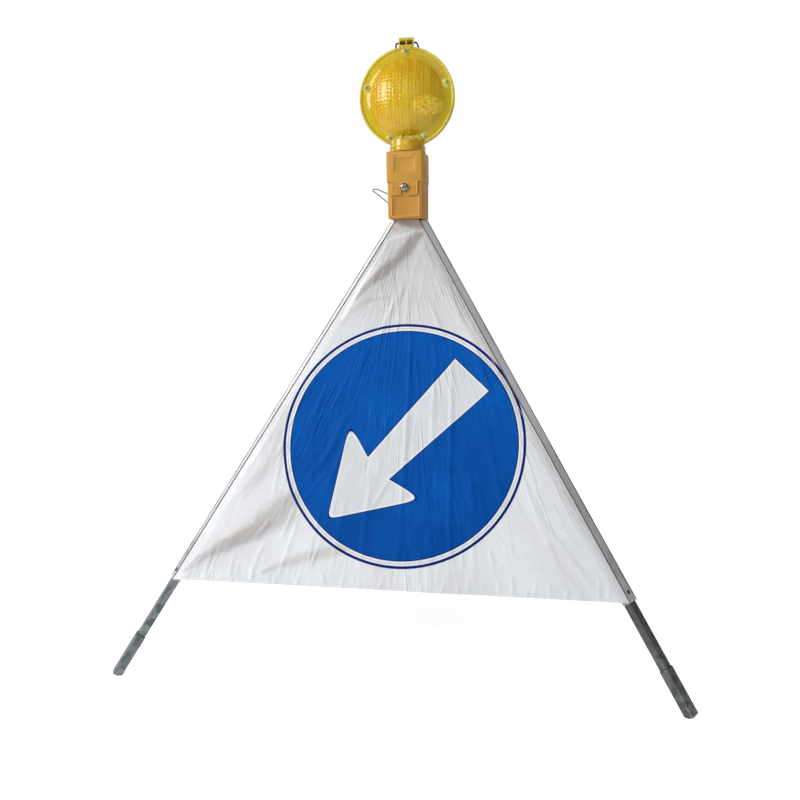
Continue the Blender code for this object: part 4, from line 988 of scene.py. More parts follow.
def front_frame(origin: Vector) -> Matrix:
    """A frame with x to the right, y up and z to the front, out of the sign."""
    return axes_frame(Vector((1, 0, 0)), Vector((0, 0, 1)), Vector((0, -1, 0)), origin)


def joint_of(frame: dict, name: str) -> dict:
    """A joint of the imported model."""
    return next(joint for joint in frame["joints"] if joint["name"] == name)


def ends(node: str) -> tuple[Vector, Vector, Vector]:
    """The lowest corner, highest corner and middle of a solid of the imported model."""
    low, high = (Vector(corner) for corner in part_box(node))
    return low, high, (low + high) / 2


# ---------------------------------------------------------------- the cloth cover


def waver(x: np.ndarray, y: np.ndarray, across: float, up: float, seed: float) -> np.ndarray:
    """A smooth noise at points of a face, with how often it turns across and up it, per metre."""
    values = [noise.noise(Vector((a * across, b * up, seed))) for a, b in zip(x.flat, y.flat)]
    return np.array(values).reshape(x.shape)


@dataclass(frozen=True)
class Fold:
    """A fold or crease of a face: a ridge or a valley between two points of the flat cloth."""

    start: Point
    end: Point
    width: float
    height: float
    lean: float = 0.0  # how much steeper the side to its right is, from -0.9 to 0.9
    flare: float = 0.0  # how much wider it is at its end, as a share

    def lift(self, x: np.ndarray, y: np.ndarray) -> np.ndarray:
        """How far the fold lifts the cloth outwards at points of the face."""
        (x0, y0), (x1, y1) = self.start, self.end
        length = math.hypot(x1 - x0, y1 - y0)
        ux, uy = (x1 - x0) / length, (y1 - y0) / length
        along = ((x - x0) * ux + (y - y0) * uy) / length
        side = -(x - x0) * uy + (y - y0) * ux
        inside = np.clip(along, 0.0, 1.0)
        width = self.width * (1.0 + self.flare * inside)
        width = width * np.where(side > 0, 1.0 + self.lean, 1.0 - self.lean)
        fade = np.sin(np.pi * (inside * 0.94 + 0.03)) ** 0.7
        beyond = np.maximum(np.maximum(-along, along - 1.0), 0.0) * length
        hump = np.exp(-((side / width) ** 2))
        return self.height * fade * hump * np.exp(-((beyond / self.width) ** 2))


@dataclass(frozen=True)
class Creases:
    """A family of fine creases at random places, all much in one direction."""

    low: Point
    high: Point
    count: int
    angle: float
    spread: float
    length: float
    width: float
    height: float
    seed: int

    def folds(self) -> list[Fold]:
        """The creases, the same ones each time."""
        chance = random.Random(self.seed)
        made = []
        for _ in range(self.count):
            x = chance.uniform(self.low[0], self.high[0])
            y = chance.uniform(self.low[1], self.high[1])
            turn = math.radians(self.angle + chance.uniform(-self.spread, self.spread))
            length = self.length * chance.uniform(0.5, 1.3)
            height = self.height * chance.uniform(0.4, 1.0) * chance.choice((1, 1, -1))
            end = (x + length * math.cos(turn), y + length * math.sin(turn))
            width = self.width * chance.uniform(0.8, 1.4)
            made.append(Fold((x, y), end, width, height, chance.uniform(-0.4, 0.4)))
        return made


FRONT_FOLDS = (
    Fold((0.021, 0.722), (-0.108, 0.578), 0.0160, 0.0080, 0.15, 0.4),
    Fold((0.023, 0.726), (-0.050, 0.704), 0.0070, 0.0032, 0.2, 0.5),
    Fold((-0.058, 0.694), (-0.037, 0.706), 0.0045, 0.0020, 0.0, 0.0),
    Fold((-0.108, 0.571), (-0.062, 0.577), 0.0050, 0.0018, 0.3, 0.0),
    Fold((0.051, 0.713), (0.031, 0.676), 0.0040, 0.0020, 0.2, 0.4),
    Fold((0.062, 0.691), (0.085, 0.626), 0.0050, 0.0019, -0.2, 0.3),
    Fold((0.085, 0.618), (0.125, 0.513), 0.0055, 0.0016, -0.2, 0.2),
    Fold((0.052, 0.576), (0.079, 0.513), 0.0045, 0.0013, -0.2, 0.2),
    Fold((-0.001, 0.613), (-0.038, 0.522), 0.0060, 0.0017, 0.25, 0.3),
    Fold((-0.020, 0.577), (-0.049, 0.483), 0.0050, 0.0013, 0.2, 0.2),
    Fold((0.014, 0.602), (0.003, 0.514), 0.0050, 0.0012, 0.2, 0.2),
    Fold((-0.416, 0.025), (-0.196, 0.190), 0.0220, 0.0090, 0.25, 0.7),
    Fold((-0.271, 0.022), (-0.116, 0.081), 0.0150, 0.0045, 0.25, 0.5),
    Fold((-0.337, 0.066), (-0.216, 0.092), 0.0120, -0.0025, 0.0, 0.5),
    Fold((-0.228, 0.285), (-0.316, 0.162), 0.0100, 0.0034, -0.2, 0.3),
    Fold((-0.259, 0.305), (-0.327, 0.198), 0.0080, 0.0026, -0.2, 0.3),
    Fold((-0.198, 0.160), (-0.226, 0.084), 0.0040, 0.0018, 0.2, 0.0),
    Fold((-0.190, 0.135), (-0.226, 0.007), 0.0045, 0.0016, 0.2, 0.2),
    Fold((-0.246, 0.129), (-0.278, 0.084), 0.0040, 0.0012, 0.2, 0.0),
    Fold((-0.262, 0.075), (-0.284, 0.006), 0.0040, 0.0015, 0.2, 0.0),
    Fold((-0.236, 0.273), (-0.246, 0.154), 0.0040, 0.0013, 0.2, 0.0),
    Fold((-0.109, 0.338), (-0.149, 0.231), 0.0050, 0.0019, 0.2, 0.2),
    Fold((-0.091, 0.320), (-0.140, 0.183), 0.0050, 0.0016, 0.2, 0.2),
    Fold((-0.115, 0.296), (-0.186, 0.194), 0.0060, 0.0020, 0.2, 0.2),
    Fold((-0.136, 0.410), (-0.199, 0.286), 0.0070, 0.0017, 0.2, 0.2),
    Fold((-0.100, 0.426), (-0.139, 0.328), 0.0050, 0.0014, 0.2, 0.2),
    Fold((-0.069, 0.472), (-0.110, 0.365), 0.0060, 0.0016, 0.2, 0.2),
    Fold((0.020, 0.514), (0.011, 0.011), 0.0040, 0.0018, 0.25, 0.2),
    Fold((0.102, 0.493), (0.111, 0.011), 0.0045, 0.0018, 0.2, 0.2),
    Fold((0.069, 0.514), (0.068, 0.233), 0.0050, 0.0012, 0.2, 0.2),
    Fold((0.137, 0.513), (0.201, 0.314), 0.0070, 0.0015, -0.2, 0.2),
    Fold((0.165, 0.372), (0.230, 0.068), 0.0060, 0.0013, -0.2, 0.3),
    Fold((0.241, 0.237), (0.330, 0.018), 0.0070, 0.0016, -0.2, 0.3),
    Fold((0.146, 0.234), (0.160, 0.013), 0.0050, 0.0013, 0.1, 0.2),
    Fold((0.281, 0.144), (0.391, 0.010), 0.0060, 0.0014, -0.2, 0.2),
    Fold((-0.048, 0.229), (-0.062, 0.055), 0.0050, 0.0014, 0.2, 0.2),
    Fold((-0.099, 0.169), (-0.120, 0.018), 0.0050, 0.0012, 0.2, 0.2),
)


@dataclass(frozen=True)
class Shade:
    """A soft band of shade, or of light below 0, along a path of (x, y, half width) points."""

    depth: float
    soft: float  # how soft its sides are, as a share of its half width
    path: tuple[Spot, ...]
    spread: float = 1.25
    ragged: float = 0.45  # how much its sides wander

    def fall(self, x: np.ndarray, y: np.ndarray) -> np.ndarray:
        """The shade at points of the face."""
        best = np.full(x.shape, 9.0)
        for (x0, y0, r0), (x1, y1, r1) in zip(self.path, self.path[1:]):
            dx, dy = x1 - x0, y1 - y0
            share = np.clip(((x - x0) * dx + (y - y0) * dy) / (dx * dx + dy * dy), 0.0, 1.0)
            away = np.hypot(x - x0 - dx * share, y - y0 - dy * share)
            best = np.minimum(best, away / (r0 + (r1 - r0) * share) / self.spread)
        best = best + waver(x, y, 34.0, 21.0, 5.0) * self.ragged
        inside = np.clip((1.0 + self.soft - best) / (2.0 * self.soft), 0.0, 1.0)
        return self.depth * inside * inside * (3 - 2 * inside)


FRONT_SHADES = (
    Shade(0.85, 0.6, (
        (0.031, 0.717, 0.0043), (0.014, 0.700, 0.0070), (-0.001, 0.680, 0.0081),
        (-0.016, 0.659, 0.0076), (-0.039, 0.638, 0.0070), (-0.064, 0.617, 0.0065),
        (-0.084, 0.598, 0.0049), (-0.098, 0.577, 0.0022),
    )),
    Shade(0.22, 0.8, (
        (-0.029, 0.582, 0.0022), (-0.076, 0.575, 0.0043), (-0.106, 0.550, 0.0043),
        (-0.123, 0.524, 0.0022),
    )),
    Shade(0.75, 0.6, (
        (-0.007, 0.740, 0.0032), (0.012, 0.736, 0.0054), (0.031, 0.732, 0.0043),
    )),
    Shade(0.45, 0.6, (
        (-0.019, 0.726, 0.0032), (-0.030, 0.733, 0.0043),
    )),
    Shade(-0.55, 0.5, (
        (0.014, 0.721, 0.0022), (-0.008, 0.713, 0.0032), (-0.035, 0.706, 0.0032),
    )),
    Shade(-0.9, 0.3, (
        (-0.042, 0.707, 0.0016), (-0.042, 0.699, 0.0027), (-0.055, 0.674, 0.0028),
        (-0.079, 0.628, 0.0035), (-0.104, 0.582, 0.0039), (-0.126, 0.540, 0.0043),
    )),
    Shade(0.62, 0.5, (
        (-0.420, 0.016, 0.0016), (-0.387, 0.043, 0.0054), (-0.356, 0.062, 0.0081),
        (-0.311, 0.085, 0.0097), (-0.273, 0.105, 0.0130), (-0.234, 0.134, 0.0216),
        (-0.216, 0.161, 0.0173),
    )),
    Shade(0.42, 0.7, (
        (-0.255, 0.023, 0.0022), (-0.211, 0.042, 0.0054), (-0.167, 0.057, 0.0076),
        (-0.117, 0.069, 0.0086), (-0.091, 0.074, 0.0032),
    )),
    Shade(0.3, 0.6, (
        (-0.316, 0.170, 0.0011), (-0.293, 0.200, 0.0043), (-0.254, 0.257, 0.0054),
        (-0.239, 0.302, 0.0032),
    )),
    Shade(-0.6, 0.5, (
        (-0.433, 0.022, 0.0011), (-0.379, 0.109, 0.0043), (-0.333, 0.187, 0.0054),
        (-0.286, 0.268, 0.0054),
    )),
    Shade(-0.5, 0.5, (
        (-0.202, 0.150, 0.0009), (-0.220, 0.092, 0.0009),
    )),
    Shade(-0.4, 0.5, (
        (-0.198, 0.116, 0.0009), (-0.227, 0.012, 0.0009),
    )),
    Shade(-0.4, 0.5, (
        (-0.236, 0.266, 0.0009), (-0.242, 0.160, 0.0009),
    )),
)

SIDE_SHADES = (
    Shade(0.5, 0.7, ((0.020, 0.715, 0.005), (-0.050, 0.640, 0.010), (-0.120, 0.560, 0.005))),
    Shade(0.3, 0.7, ((-0.410, 0.020, 0.003), (-0.300, 0.090, 0.014), (-0.200, 0.150, 0.020))),
    Shade(0.25, 0.7, ((0.400, 0.025, 0.003), (0.300, 0.070, 0.012), (0.210, 0.110, 0.016))),
)

SIDE_FOLDS = (
    Fold((-0.060, 0.715), (0.115, 0.560), 0.012, -0.0050, -0.3, 0.7),
    Fold((0.030, 0.725), (-0.070, 0.560), 0.011, 0.0035, 0.0, 0.6),
    Fold((0.430, 0.012), (0.190, 0.130), 0.011, -0.0055, 0.4, 1.4),
    Fold((-0.430, 0.012), (-0.210, 0.105), 0.011, -0.0045, -0.4, 1.3),
    Fold((0.240, 0.030), (0.050, 0.085), 0.013, -0.0030, 0.3, 0.6),
    Fold((-0.018, 0.000), (-0.014, 0.620), 0.0030, 0.0011),
    Fold((-0.090, 0.000), (-0.080, 0.420), 0.0030, 0.0012),
    Fold((0.160, 0.090), (0.050, 0.480), 0.0080, 0.0019, 0.2, 0.3),
    Fold((-0.200, 0.080), (-0.110, 0.440), 0.0080, -0.0016, 0.2, 0.3),
    Fold((-0.120, 0.200), (-0.030, 0.560), 0.0080, 0.0018),
    Fold((0.260, 0.060), (0.140, 0.330), 0.0070, 0.0014),
)

CREASES = (
    Creases((-0.24, 0.12), (-0.04, 0.34), 26, 66.0, 14.0, 0.110, 0.0034, 0.0009, 11),
    Creases((-0.05, 0.05), (0.10, 0.40), 22, 88.0, 9.0, 0.120, 0.0032, 0.0008, 12),
    Creases((0.08, 0.05), (0.24, 0.36), 18, 108.0, 10.0, 0.120, 0.0036, 0.0007, 13),
    Creases((-0.08, 0.48), (0.08, 0.62), 18, 84.0, 20.0, 0.080, 0.0032, 0.0009, 14),
    Creases((-0.38, 0.02), (-0.16, 0.14), 14, 62.0, 16.0, 0.070, 0.0030, 0.0008, 15),
    Creases((0.18, 0.02), (0.36, 0.12), 10, 118.0, 18.0, 0.060, 0.0034, 0.0006, 16),
)


@dataclass
class Face:
    """One of the cover's three faces: flat cloth between two legs, in metres on the face.

    The face's x axis runs to the right as one looks at it and its y axis up its slope, from the
    middle of the hem.
    """

    azimuth: float
    left: Leg
    right: Leg
    nodes: tuple[str, str]
    folds: tuple[Fold, ...]
    shades: tuple[Shade, ...]
    seed: int
    collar: float = 0.0  # the height of its top strip, which stays with the hub
    edge_height: float = 0.0046
    edge_width: float = 0.0230
    hem_height: float = 0.0008
    stitch_up: float = 0.0065
    swell: float = 0.0022
    hold: float = 0.030  # how far in from its pockets the cloth is held flat
    groove: float = 0.0005

    def measure(self, frame: dict) -> None:
        """Read the face's place and corners from its two solids."""
        turn = math.radians(self.azimuth)
        out = Vector((math.cos(turn), math.sin(turn), 0.0))
        self.along = Vector((-math.sin(turn), math.cos(turn), 0.0))
        left = [vertex.co.copy() for vertex in frame["nodes"][self.nodes[0]].data.vertices]
        middle_x = max(point.dot(self.along) for point in left)
        fold = [point for point in left if middle_x - point.dot(self.along) < 0.0001]
        middle_z = (min(point.z for point in fold) + max(point.z for point in fold)) / 2
        foot = max((p for p in fold if p.z < middle_z), key=lambda p: p.dot(out) * 5 - p.z)
        top = max((p for p in fold if p.z > middle_z), key=lambda p: p.dot(out) * 5 + p.z)
        self.up = (top - foot).normalized()
        self.normal = self.along.cross(self.up)
        self.tall = (top - foot).dot(self.up)
        axis = frame["nodes"]["centre_rod"].data.vertices
        centre = sum((vertex.co for vertex in axis), Vector()) / len(axis)
        self.origin = foot + self.along * (centre - foot).dot(self.along)
        outer = [point for point in left if abs((point - foot).dot(self.normal)) < 0.0001]
        foot_x = min((point - self.origin).dot(self.along) for point in outer)
        top_points = [point for point in outer if (point - foot).dot(self.up) > self.tall * 0.9]
        top_x = min((point - self.origin).dot(self.along) for point in top_points)
        self.foot_half, self.top_half = -foot_x, -top_x

    def half_at(self, y: np.ndarray) -> np.ndarray:
        """Half the face's width at heights up it."""
        return self.foot_half + (self.top_half - self.foot_half) * y / self.tall

    def point(self, x: float, y: float, lift: float = 0.0) -> Vector:
        """The place of a point of the face."""
        return self.origin + self.along * x + self.up * y + self.normal * lift

    def relief(self, x: np.ndarray, y: np.ndarray) -> np.ndarray:
        """How far the cloth stands out of the flat face at points of it."""
        lift = np.zeros_like(x)
        for fold in self.folds:
            lift += fold.lift(x, y)
        for family in CREASES:
            for fold in replace(family, seed=family.seed + self.seed).folds():
                lift += fold.lift(x, y)
        lift += self._puckers(x, y)
        lift += waver(x, y, 7.0, 5.0, self.seed) * self.swell
        half = self.half_at(y)
        inwards = half - np.abs(x)
        hold = np.clip(inwards / self.hold, 0.0, 1.0)
        lift *= hold * hold * (3 - 2 * hold)
        near = np.clip(inwards / self.edge_width, 0.0, 1.0)
        taper = np.clip(half / 0.10, 0.2, 1.0)
        sag = np.exp(-np.maximum(inwards - 0.02, 0) / 0.09)
        lift += self.edge_height * taper * (1 - (1 - near) ** 2) * sag
        band = 1 / (1 + np.exp((y - self.stitch_up) / 0.0009))
        groove = np.exp(-(((y - self.stitch_up) / 0.0011) ** 2))
        return lift + self.hem_height * band - self.groove * groove * hold

    def _puckers(self, x: np.ndarray, y: np.ndarray) -> np.ndarray:
        """The small puckers above the hem's stitches."""
        chance = random.Random(40 + self.seed)
        lift = np.zeros_like(x)
        place = -self.foot_half + 0.03
        while place < self.foot_half - 0.03:
            height = chance.uniform(0.012, 0.042)
            lean = chance.uniform(-0.004, 0.008)
            deep = chance.uniform(0.0006, 0.0015)
            lift += Fold((place, 0.0), (place + lean, height), 0.0030, deep).lift(x, y)
            place += chance.uniform(0.012, 0.034)
        return lift


@dataclass
class Cover:
    """The cloth cover: three printed faces in two halves each, with a strip at the front's top, and
    a pocket along each leg.
    """

    finishes: Finishes
    frame: dict
    thick: float = 0.0006
    across: int = 156
    up: int = 312
    folded_share: float = 0.09
    stitch_length: float = 0.0034
    stitch_pitch: float = 0.0050
    stitch_radius: float = 0.00038
    stitch_rise: float = 0.0001
    pocket_corner: float = 0.0012
    binding_radius: float = 0.0010
    top_rise: float = 0.0024
    strip: float = 0.0125
    seam: float = 0.0065  # how far in from the pocket's corner its stitches run
    pocket_rows: int = 170
    pocket_columns: int = 8

    def build(self) -> list[Object]:
        """Build every piece of the cover."""
        front = ("cover_front_left", "cover_front_right")
        right = ("cover_right_front", "cover_right_rear")
        left = ("cover_left_rear", "cover_left_front")
        faces = (
            Face(270.0, Leg.LEFT, Leg.RIGHT, front, FRONT_FOLDS, FRONT_SHADES, 0, self.strip),
            Face(30.0, Leg.RIGHT, Leg.REAR, right, SIDE_FOLDS, SIDE_SHADES, 3),
            Face(150.0, Leg.REAR, Leg.LEFT, left, SIDE_FOLDS, SIDE_SHADES, 7),
        )
        made = []
        for face in faces:
            face.measure(self.frame)
            made += self.half(face, face.left, face.nodes[0], -1)
            made += self.half(face, face.right, face.nodes[1], 1)
            if face.collar:
                made.append(self.collar(face))
        for leg in Leg:
            made += self.pocket(leg)
        return made

    def half(self, face: Face, leg: Leg, node: str, side: int) -> list[Object]:
        """Half a face, from its leg to the fold down its middle, with its stitches."""
        reach = (0.0, 1.0) if side > 0 else (-1.0, 0.0)
        top = face.tall + self.top_rise - face.collar
        piece = self.drape(face, node + "_cloth", reach, (0.0, top), (self.across, self.up))
        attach(piece, leg.word + "_leg")
        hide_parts(node)
        thread = self.stitches(face, node, side)
        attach(thread, leg.word + "_leg")
        foot = face.point(side * face.foot_half, 0.0)
        slope = (face.point(side * face.top_half, face.tall) - foot).normalized()
        for soft in (piece, thread):
            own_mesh(soft)
        area = (face.foot_half + face.top_half) / 2 * face.tall
        return [piece, thread]

    def drape(
        self, face: Face, name: str, reach: Point, rows: Point, quads: tuple[int, int]
    ) -> Object:
        """Cloth over part of a face, with its folds, its map and its shade.

        Args:
            face: The face that it lies on.
            name: The piece's name.
            reach: Its sides, as shares of half the face's width from the middle.
            rows: Its lower and upper ends, up the face.
            quads: How many faces it has across and up.

        Returns:
            The piece.
        """
        Bench.clear()
        bpy.ops.mesh.primitive_grid_add(x_subdivisions=quads[0], y_subdivisions=quads[1], size=2.0)
        piece = Bench.take(name)
        mesh = piece.data
        flat = np.empty(len(mesh.vertices) * 3)
        mesh.vertices.foreach_get("co", flat)
        flat = flat.reshape(-1, 3)
        share = np.clip((flat[:, 0] + 1) / 2, 0.0, 1.0)
        y = rows[0] + (rows[1] - rows[0]) * np.clip((flat[:, 1] + 1) / 2, 0.0, 1.0)
        half = face.half_at(y) + self.pocket_corner
        x = half * (reach[0] + (reach[1] - reach[0]) * share)
        lift = face.relief(x, y)
        places = (
            np.array(face.origin)
            + np.outer(x, face.along)
            + np.outer(y, face.up)
            + np.outer(lift, face.normal)
        )
        layer = mesh.uv_layers.active or mesh.uv_layers.new(name="cut")
        layer.name = "cut"
        corners = np.empty(len(mesh.loops), dtype=np.int64)
        mesh.loops.foreach_get("vertex_index", corners)
        cut = np.stack((x[corners], y[corners]), axis=1)
        layer.data.foreach_set("uv", cut.astype(np.float32).ravel())
        mesh.vertices.foreach_set("co", places.astype(np.float32).ravel())
        shade = sum(shade.fall(x, y) for shade in face.shades)
        shades = mesh.attributes.new("shade", "FLOAT", "POINT")
        shades.data.foreach_set("value", np.clip(shade, -1.0, 1.0).astype(np.float32))
        mesh.update()
        if mesh.polygons[0].normal.dot(face.normal) < 0:
            mesh.flip_normals()
        paint(piece, self.finishes.cloth, self.finishes.cloth_inside)
        Bench.modify(piece, "SOLIDIFY", thickness=self.thick, offset=-1.0, material_offset=1)
        return Bench.smooth(piece, 60.0)

    def collar(self, face: Face) -> Object:
        """The strip at the top of a face that stays with the hub as the legs fold."""
        top = face.tall + self.top_rise
        piece = self.drape(face, "cover_top_strip", (-1.0, 1.0), (top - face.collar, top), (64, 8))
        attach(piece, "hub_frame")
        return piece

    def stitches(self, face: Face, node: str, side: int) -> Object:
        """The stitches along a half face's hem and along its pocket."""
        Bench.clear()
        size = {"radius": self.stitch_radius, "depth": self.stitch_length}
        bpy.ops.mesh.primitive_cylinder_add(vertices=6, **size)
        stitch = Bench.take("stitch")
        bpy.ops.object.mode_set(mode="EDIT")
        Bench.select_faces(stitch, lambda middle: abs(middle.z) > self.stitch_length * 0.45)
        bpy.ops.mesh.inset(thickness=self.stitch_radius * 0.5)
        bpy.ops.transform.resize(value=(1, 1, 1.25))
        bpy.ops.object.mode_set(mode="OBJECT")
        places = []
        count = int(face.foot_half / self.stitch_pitch) - 2
        for i in range(count):
            places.append((side * (i + 0.8) * self.stitch_pitch, face.stitch_up, side, 0.0))
        slant = math.hypot(face.foot_half - face.top_half, face.tall)
        ux, uy = (face.foot_half - face.top_half) / slant, face.tall / slant
        for i in range(3, int(slant / self.stitch_pitch) - 2):
            down = i * self.stitch_pitch
            x = face.foot_half - down * ux - self.seam
            places.append((side * x, down * uy, -side * ux, uy))
        spots = np.array([(x, y) for x, y, _, _ in places])
        lifts = face.relief(spots[:, 0], spots[:, 1])
        return self._repeat(stitch, node + "_thread", face, places, lifts)

    def _repeat(
        self,
        stitch: Object,
        name: str,
        face: Face,
        places: list[tuple[float, float, float, float]],
        lifts: np.ndarray,
    ) -> Object:
        """Copies of a stitch on a face, as one piece."""
        whole = bmesh.new()
        for (x, y, ux, uy), lift in zip(places, lifts):
            run = (face.along * ux + face.up * uy).normalized()
            spot = face.point(x, y, float(lift) + self.stitch_rise)
            place = axes_frame(run.cross(face.normal), face.normal, run, spot)
            before = len(whole.verts)
            whole.from_mesh(stitch.data)
            whole.verts.ensure_lookup_table()
            bmesh.ops.transform(whole, matrix=place, verts=whole.verts[before:])
        bmesh.ops.recalc_face_normals(whole, faces=whole.faces)
        whole.to_mesh(stitch.data)
        whole.free()
        stitch.name = name
        stitch.data.name = name
        Bench.smooth(stitch, 50.0)
        return paint(stitch, self.finishes.thread)

    def pocket(self, leg: Leg) -> list[Object]:
        """The cloth pocket along a leg: a strip round the channel's outer side, open inwards."""
        node = "cover_pocket_" + leg.word
        place, low, high = leg_place(self.frame, leg, node)
        outer, half, inner = high.y, high.x, low.y
        corner = self.pocket_corner
        rows, columns = self.pocket_rows, self.pocket_columns
        flat = 2 * half - 2 * corner
        path = [(-half, inner), (-half, outer - corner)]
        for t in CORNER_TURNS:
            path.append((-half + corner * (1 - math.cos(t)), outer - corner * (1 - math.sin(t))))
        path += [(-half + corner + flat * i / columns, outer) for i in range(columns + 1)]
        for t in CORNER_TURNS:
            path.append((half - corner * (1 - math.sin(t)), outer - corner * (1 - math.cos(t))))
        path += [(half, outer - corner), (half, inner)]
        Bench.clear()
        bpy.ops.mesh.primitive_grid_add(x_subdivisions=len(path) - 1, y_subdivisions=rows, size=2.0)
        piece = Bench.take(node + "_cloth")
        for vertex in piece.data.vertices:
            column = round((vertex.co.x + 1) / 2 * (len(path) - 1))
            share = (vertex.co.y + 1) / 2
            x, y = path[column]
            z = low.z + (high.z - low.z) * share
            if y > outer - corner * 0.5:
                ripple = noise.noise(Vector((x * 60.0, 0.0, z * 22.0 + leg.value)))
                y += 0.0007 * ripple - 0.0002 + 0.0005 * math.cos(x / half * 1.4)
            vertex.co = place @ Vector((x, y, z))
        layer = piece.data.uv_layers.active
        layer.name = "cut"
        for loop in piece.data.loops:
            column, row = loop.vertex_index % len(path), loop.vertex_index // len(path)
            layer.data[loop.index].uv = (column * 0.0025, row * (high.z - low.z) / rows)
        piece.data.update()
        back = place.inverted()
        outermost = max(piece.data.polygons, key=lambda polygon: (back @ polygon.center).y)
        if outermost.normal.dot(place.to_3x3() @ Vector((0, 1, 0))) < 0:
            piece.data.flip_normals()
        paint(piece, self.finishes.plain_cloth, self.finishes.cloth_inside)
        Bench.modify(piece, "SOLIDIFY", thickness=self.thick, offset=-1.0, material_offset=1)
        Bench.smooth(piece, 50.0)
        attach(piece, leg.word + "_leg")
        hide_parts(node)
        return [piece, self.piping(leg, place, half, outer, (low.z, high.z))]

    def piping(self, leg: Leg, place: Matrix, half: float, outer: float, span: Point) -> Object:
        """Dark cords along a pocket's two outer corners: painted shade for the dark outline of its
        edges.
        """
        edges = []
        for side in (-1, 1):
            Bench.clear()
            size = {"radius": self.binding_radius, "depth": span[1] - span[0]}
            bpy.ops.mesh.primitive_cylinder_add(vertices=10, **size)
            edge = Bench.take("edge")
            middle = Matrix.Translation((side * half, outer, (span[0] + span[1]) / 2))
            Bench.settle(edge, place @ middle)
            edges.append(edge)
        both = Bench.smooth(Bench.gather("pocket_piping_" + leg.word, edges), 50.0)
        return carry(both, leg.word + "_leg", self.finishes.binding)


CORNER_TURNS = [math.radians(angle) for angle in (22.5, 45.0, 67.5)]
LEG_LEAN = math.radians(34.4)


def leg_place(frame: dict, leg: Leg, node: str) -> tuple[Matrix, Vector, Vector]:
    """A leg's frame, read from its channel, and a solid's corners in it.

    Args:
        frame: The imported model.
        leg: The leg.
        node: A solid that runs along the leg.

    Returns:
        The frame, with x across the leg, y outwards and z down it, and the solid's lowest and
        highest corners in that frame.
    """
    turn = math.radians(leg.value)
    out = Vector((math.cos(turn), math.sin(turn), 0.0))
    side = Vector((-math.sin(turn), math.cos(turn), 0.0))
    up = Vector((0.0, 0.0, 1.0))
    down = out * math.sin(LEG_LEAN) - up * math.cos(LEG_LEAN)
    outward = out * math.cos(LEG_LEAN) + up * math.sin(LEG_LEAN)
    place = axes_frame(side, outward, down, ends("hub_pin_" + leg.word)[2])
    back = place.inverted()
    inside = [back @ vertex.co for vertex in frame["nodes"][node].data.vertices]
    lowest = Vector([min(p[i] for p in inside) for i in range(3)])
    highest = Vector([max(p[i] for p in inside) for i in range(3)])
    return place, lowest, highest


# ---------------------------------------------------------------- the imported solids


@dataclass
class Steelwork:
    """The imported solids' finishes and broken edges, and the spring's coil."""

    finishes: Finishes
    frame: dict
    edge: float = 0.0003

    def build(self) -> list[Object]:
        """Give each solid its finish and broken edges, and build the spring's coil."""
        f = self.finishes
        finish_of = {
            "leg_": f.galvanised,
            "foot_sleeve_": f.galvanised,
            "strut_": f.galvanised,
            "strut_pin_": f.screw,
            "hub_pin_": f.screw,
            "runner_pin_": f.screw,
            "cover_screw_": f.dark_steel,
            "hub": f.galvanised,
            "hub_bolt": f.screw,
            "centre_rod": f.galvanised,
            "rod_stop": f.dark_steel,
            "runner": f.dark_steel,
            "opening_spring": f.spring,
            "lamp_bracket": f.galvanised,
            "bracket_screw_": f.screw,
            "hanging_loop": f.loop,
            "battery_case": f.case,
            "upper_housing": f.case,
            "light_stalk": f.case,
            "battery": f.battery,
            "battery_spring_": f.spring,
            "circuit_board": f.board,
            "led": f.led,
            "swivel_seal": f.rubber,
            "lens_front": f.lens,
            "lens_rear": f.lens,
            "lens_collar": f.collar,
            "lens_screw_": f.screw,
            "lock_bolt": f.screw,
            "carrying_bail": f.wire,
            "cover_": f.plain_cloth,
        }
        made = []
        for name, node in self.frame["nodes"].items():
            stem = max((stem for stem in finish_of if name.startswith(stem)), key=len)
            for slot in node.material_slots:
                slot.material = finish_of[stem]
            self.soften(node)
            made.append(node)
        made.append(self.spring())
        return made

    def spring(self) -> Object:
        """A copy of the opening spring's coil on the hub's frame, which the runner slides down on.
        """
        name = "opening_spring"
        low, high, _ = ends(name)
        coil = Bench.copy(self.frame["nodes"][name], name + "_coil", Matrix.Identity(4))
        slide = joint_of(self.frame, "runner_slide")
        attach(coil, "hub_frame")
        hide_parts(name)
        keep = 1 - slide["range_m"][1] / (high.z - low.z)
        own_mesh(coil)
        return coil

    def soften(self, node: Object) -> None:
        """Weld a solid's triangles, break its edges and shade it smooth, with live modifiers."""
        weld = node.modifiers.new("weld", "WELD")
        weld.merge_threshold = DOUBLE
        bevel = node.modifiers.new("broken_edges", "BEVEL")
        bevel.width = self.edge
        bevel.segments = 2
        bevel.limit_method = "ANGLE"
        split = node.modifiers.new("sharp_edges", "EDGE_SPLIT")
        bevel.angle_limit = split.split_angle = math.radians(40.0)
        for polygon in node.data.polygons:
            polygon.use_smooth = True


# ---------------------------------------------------------------- the lamp's box


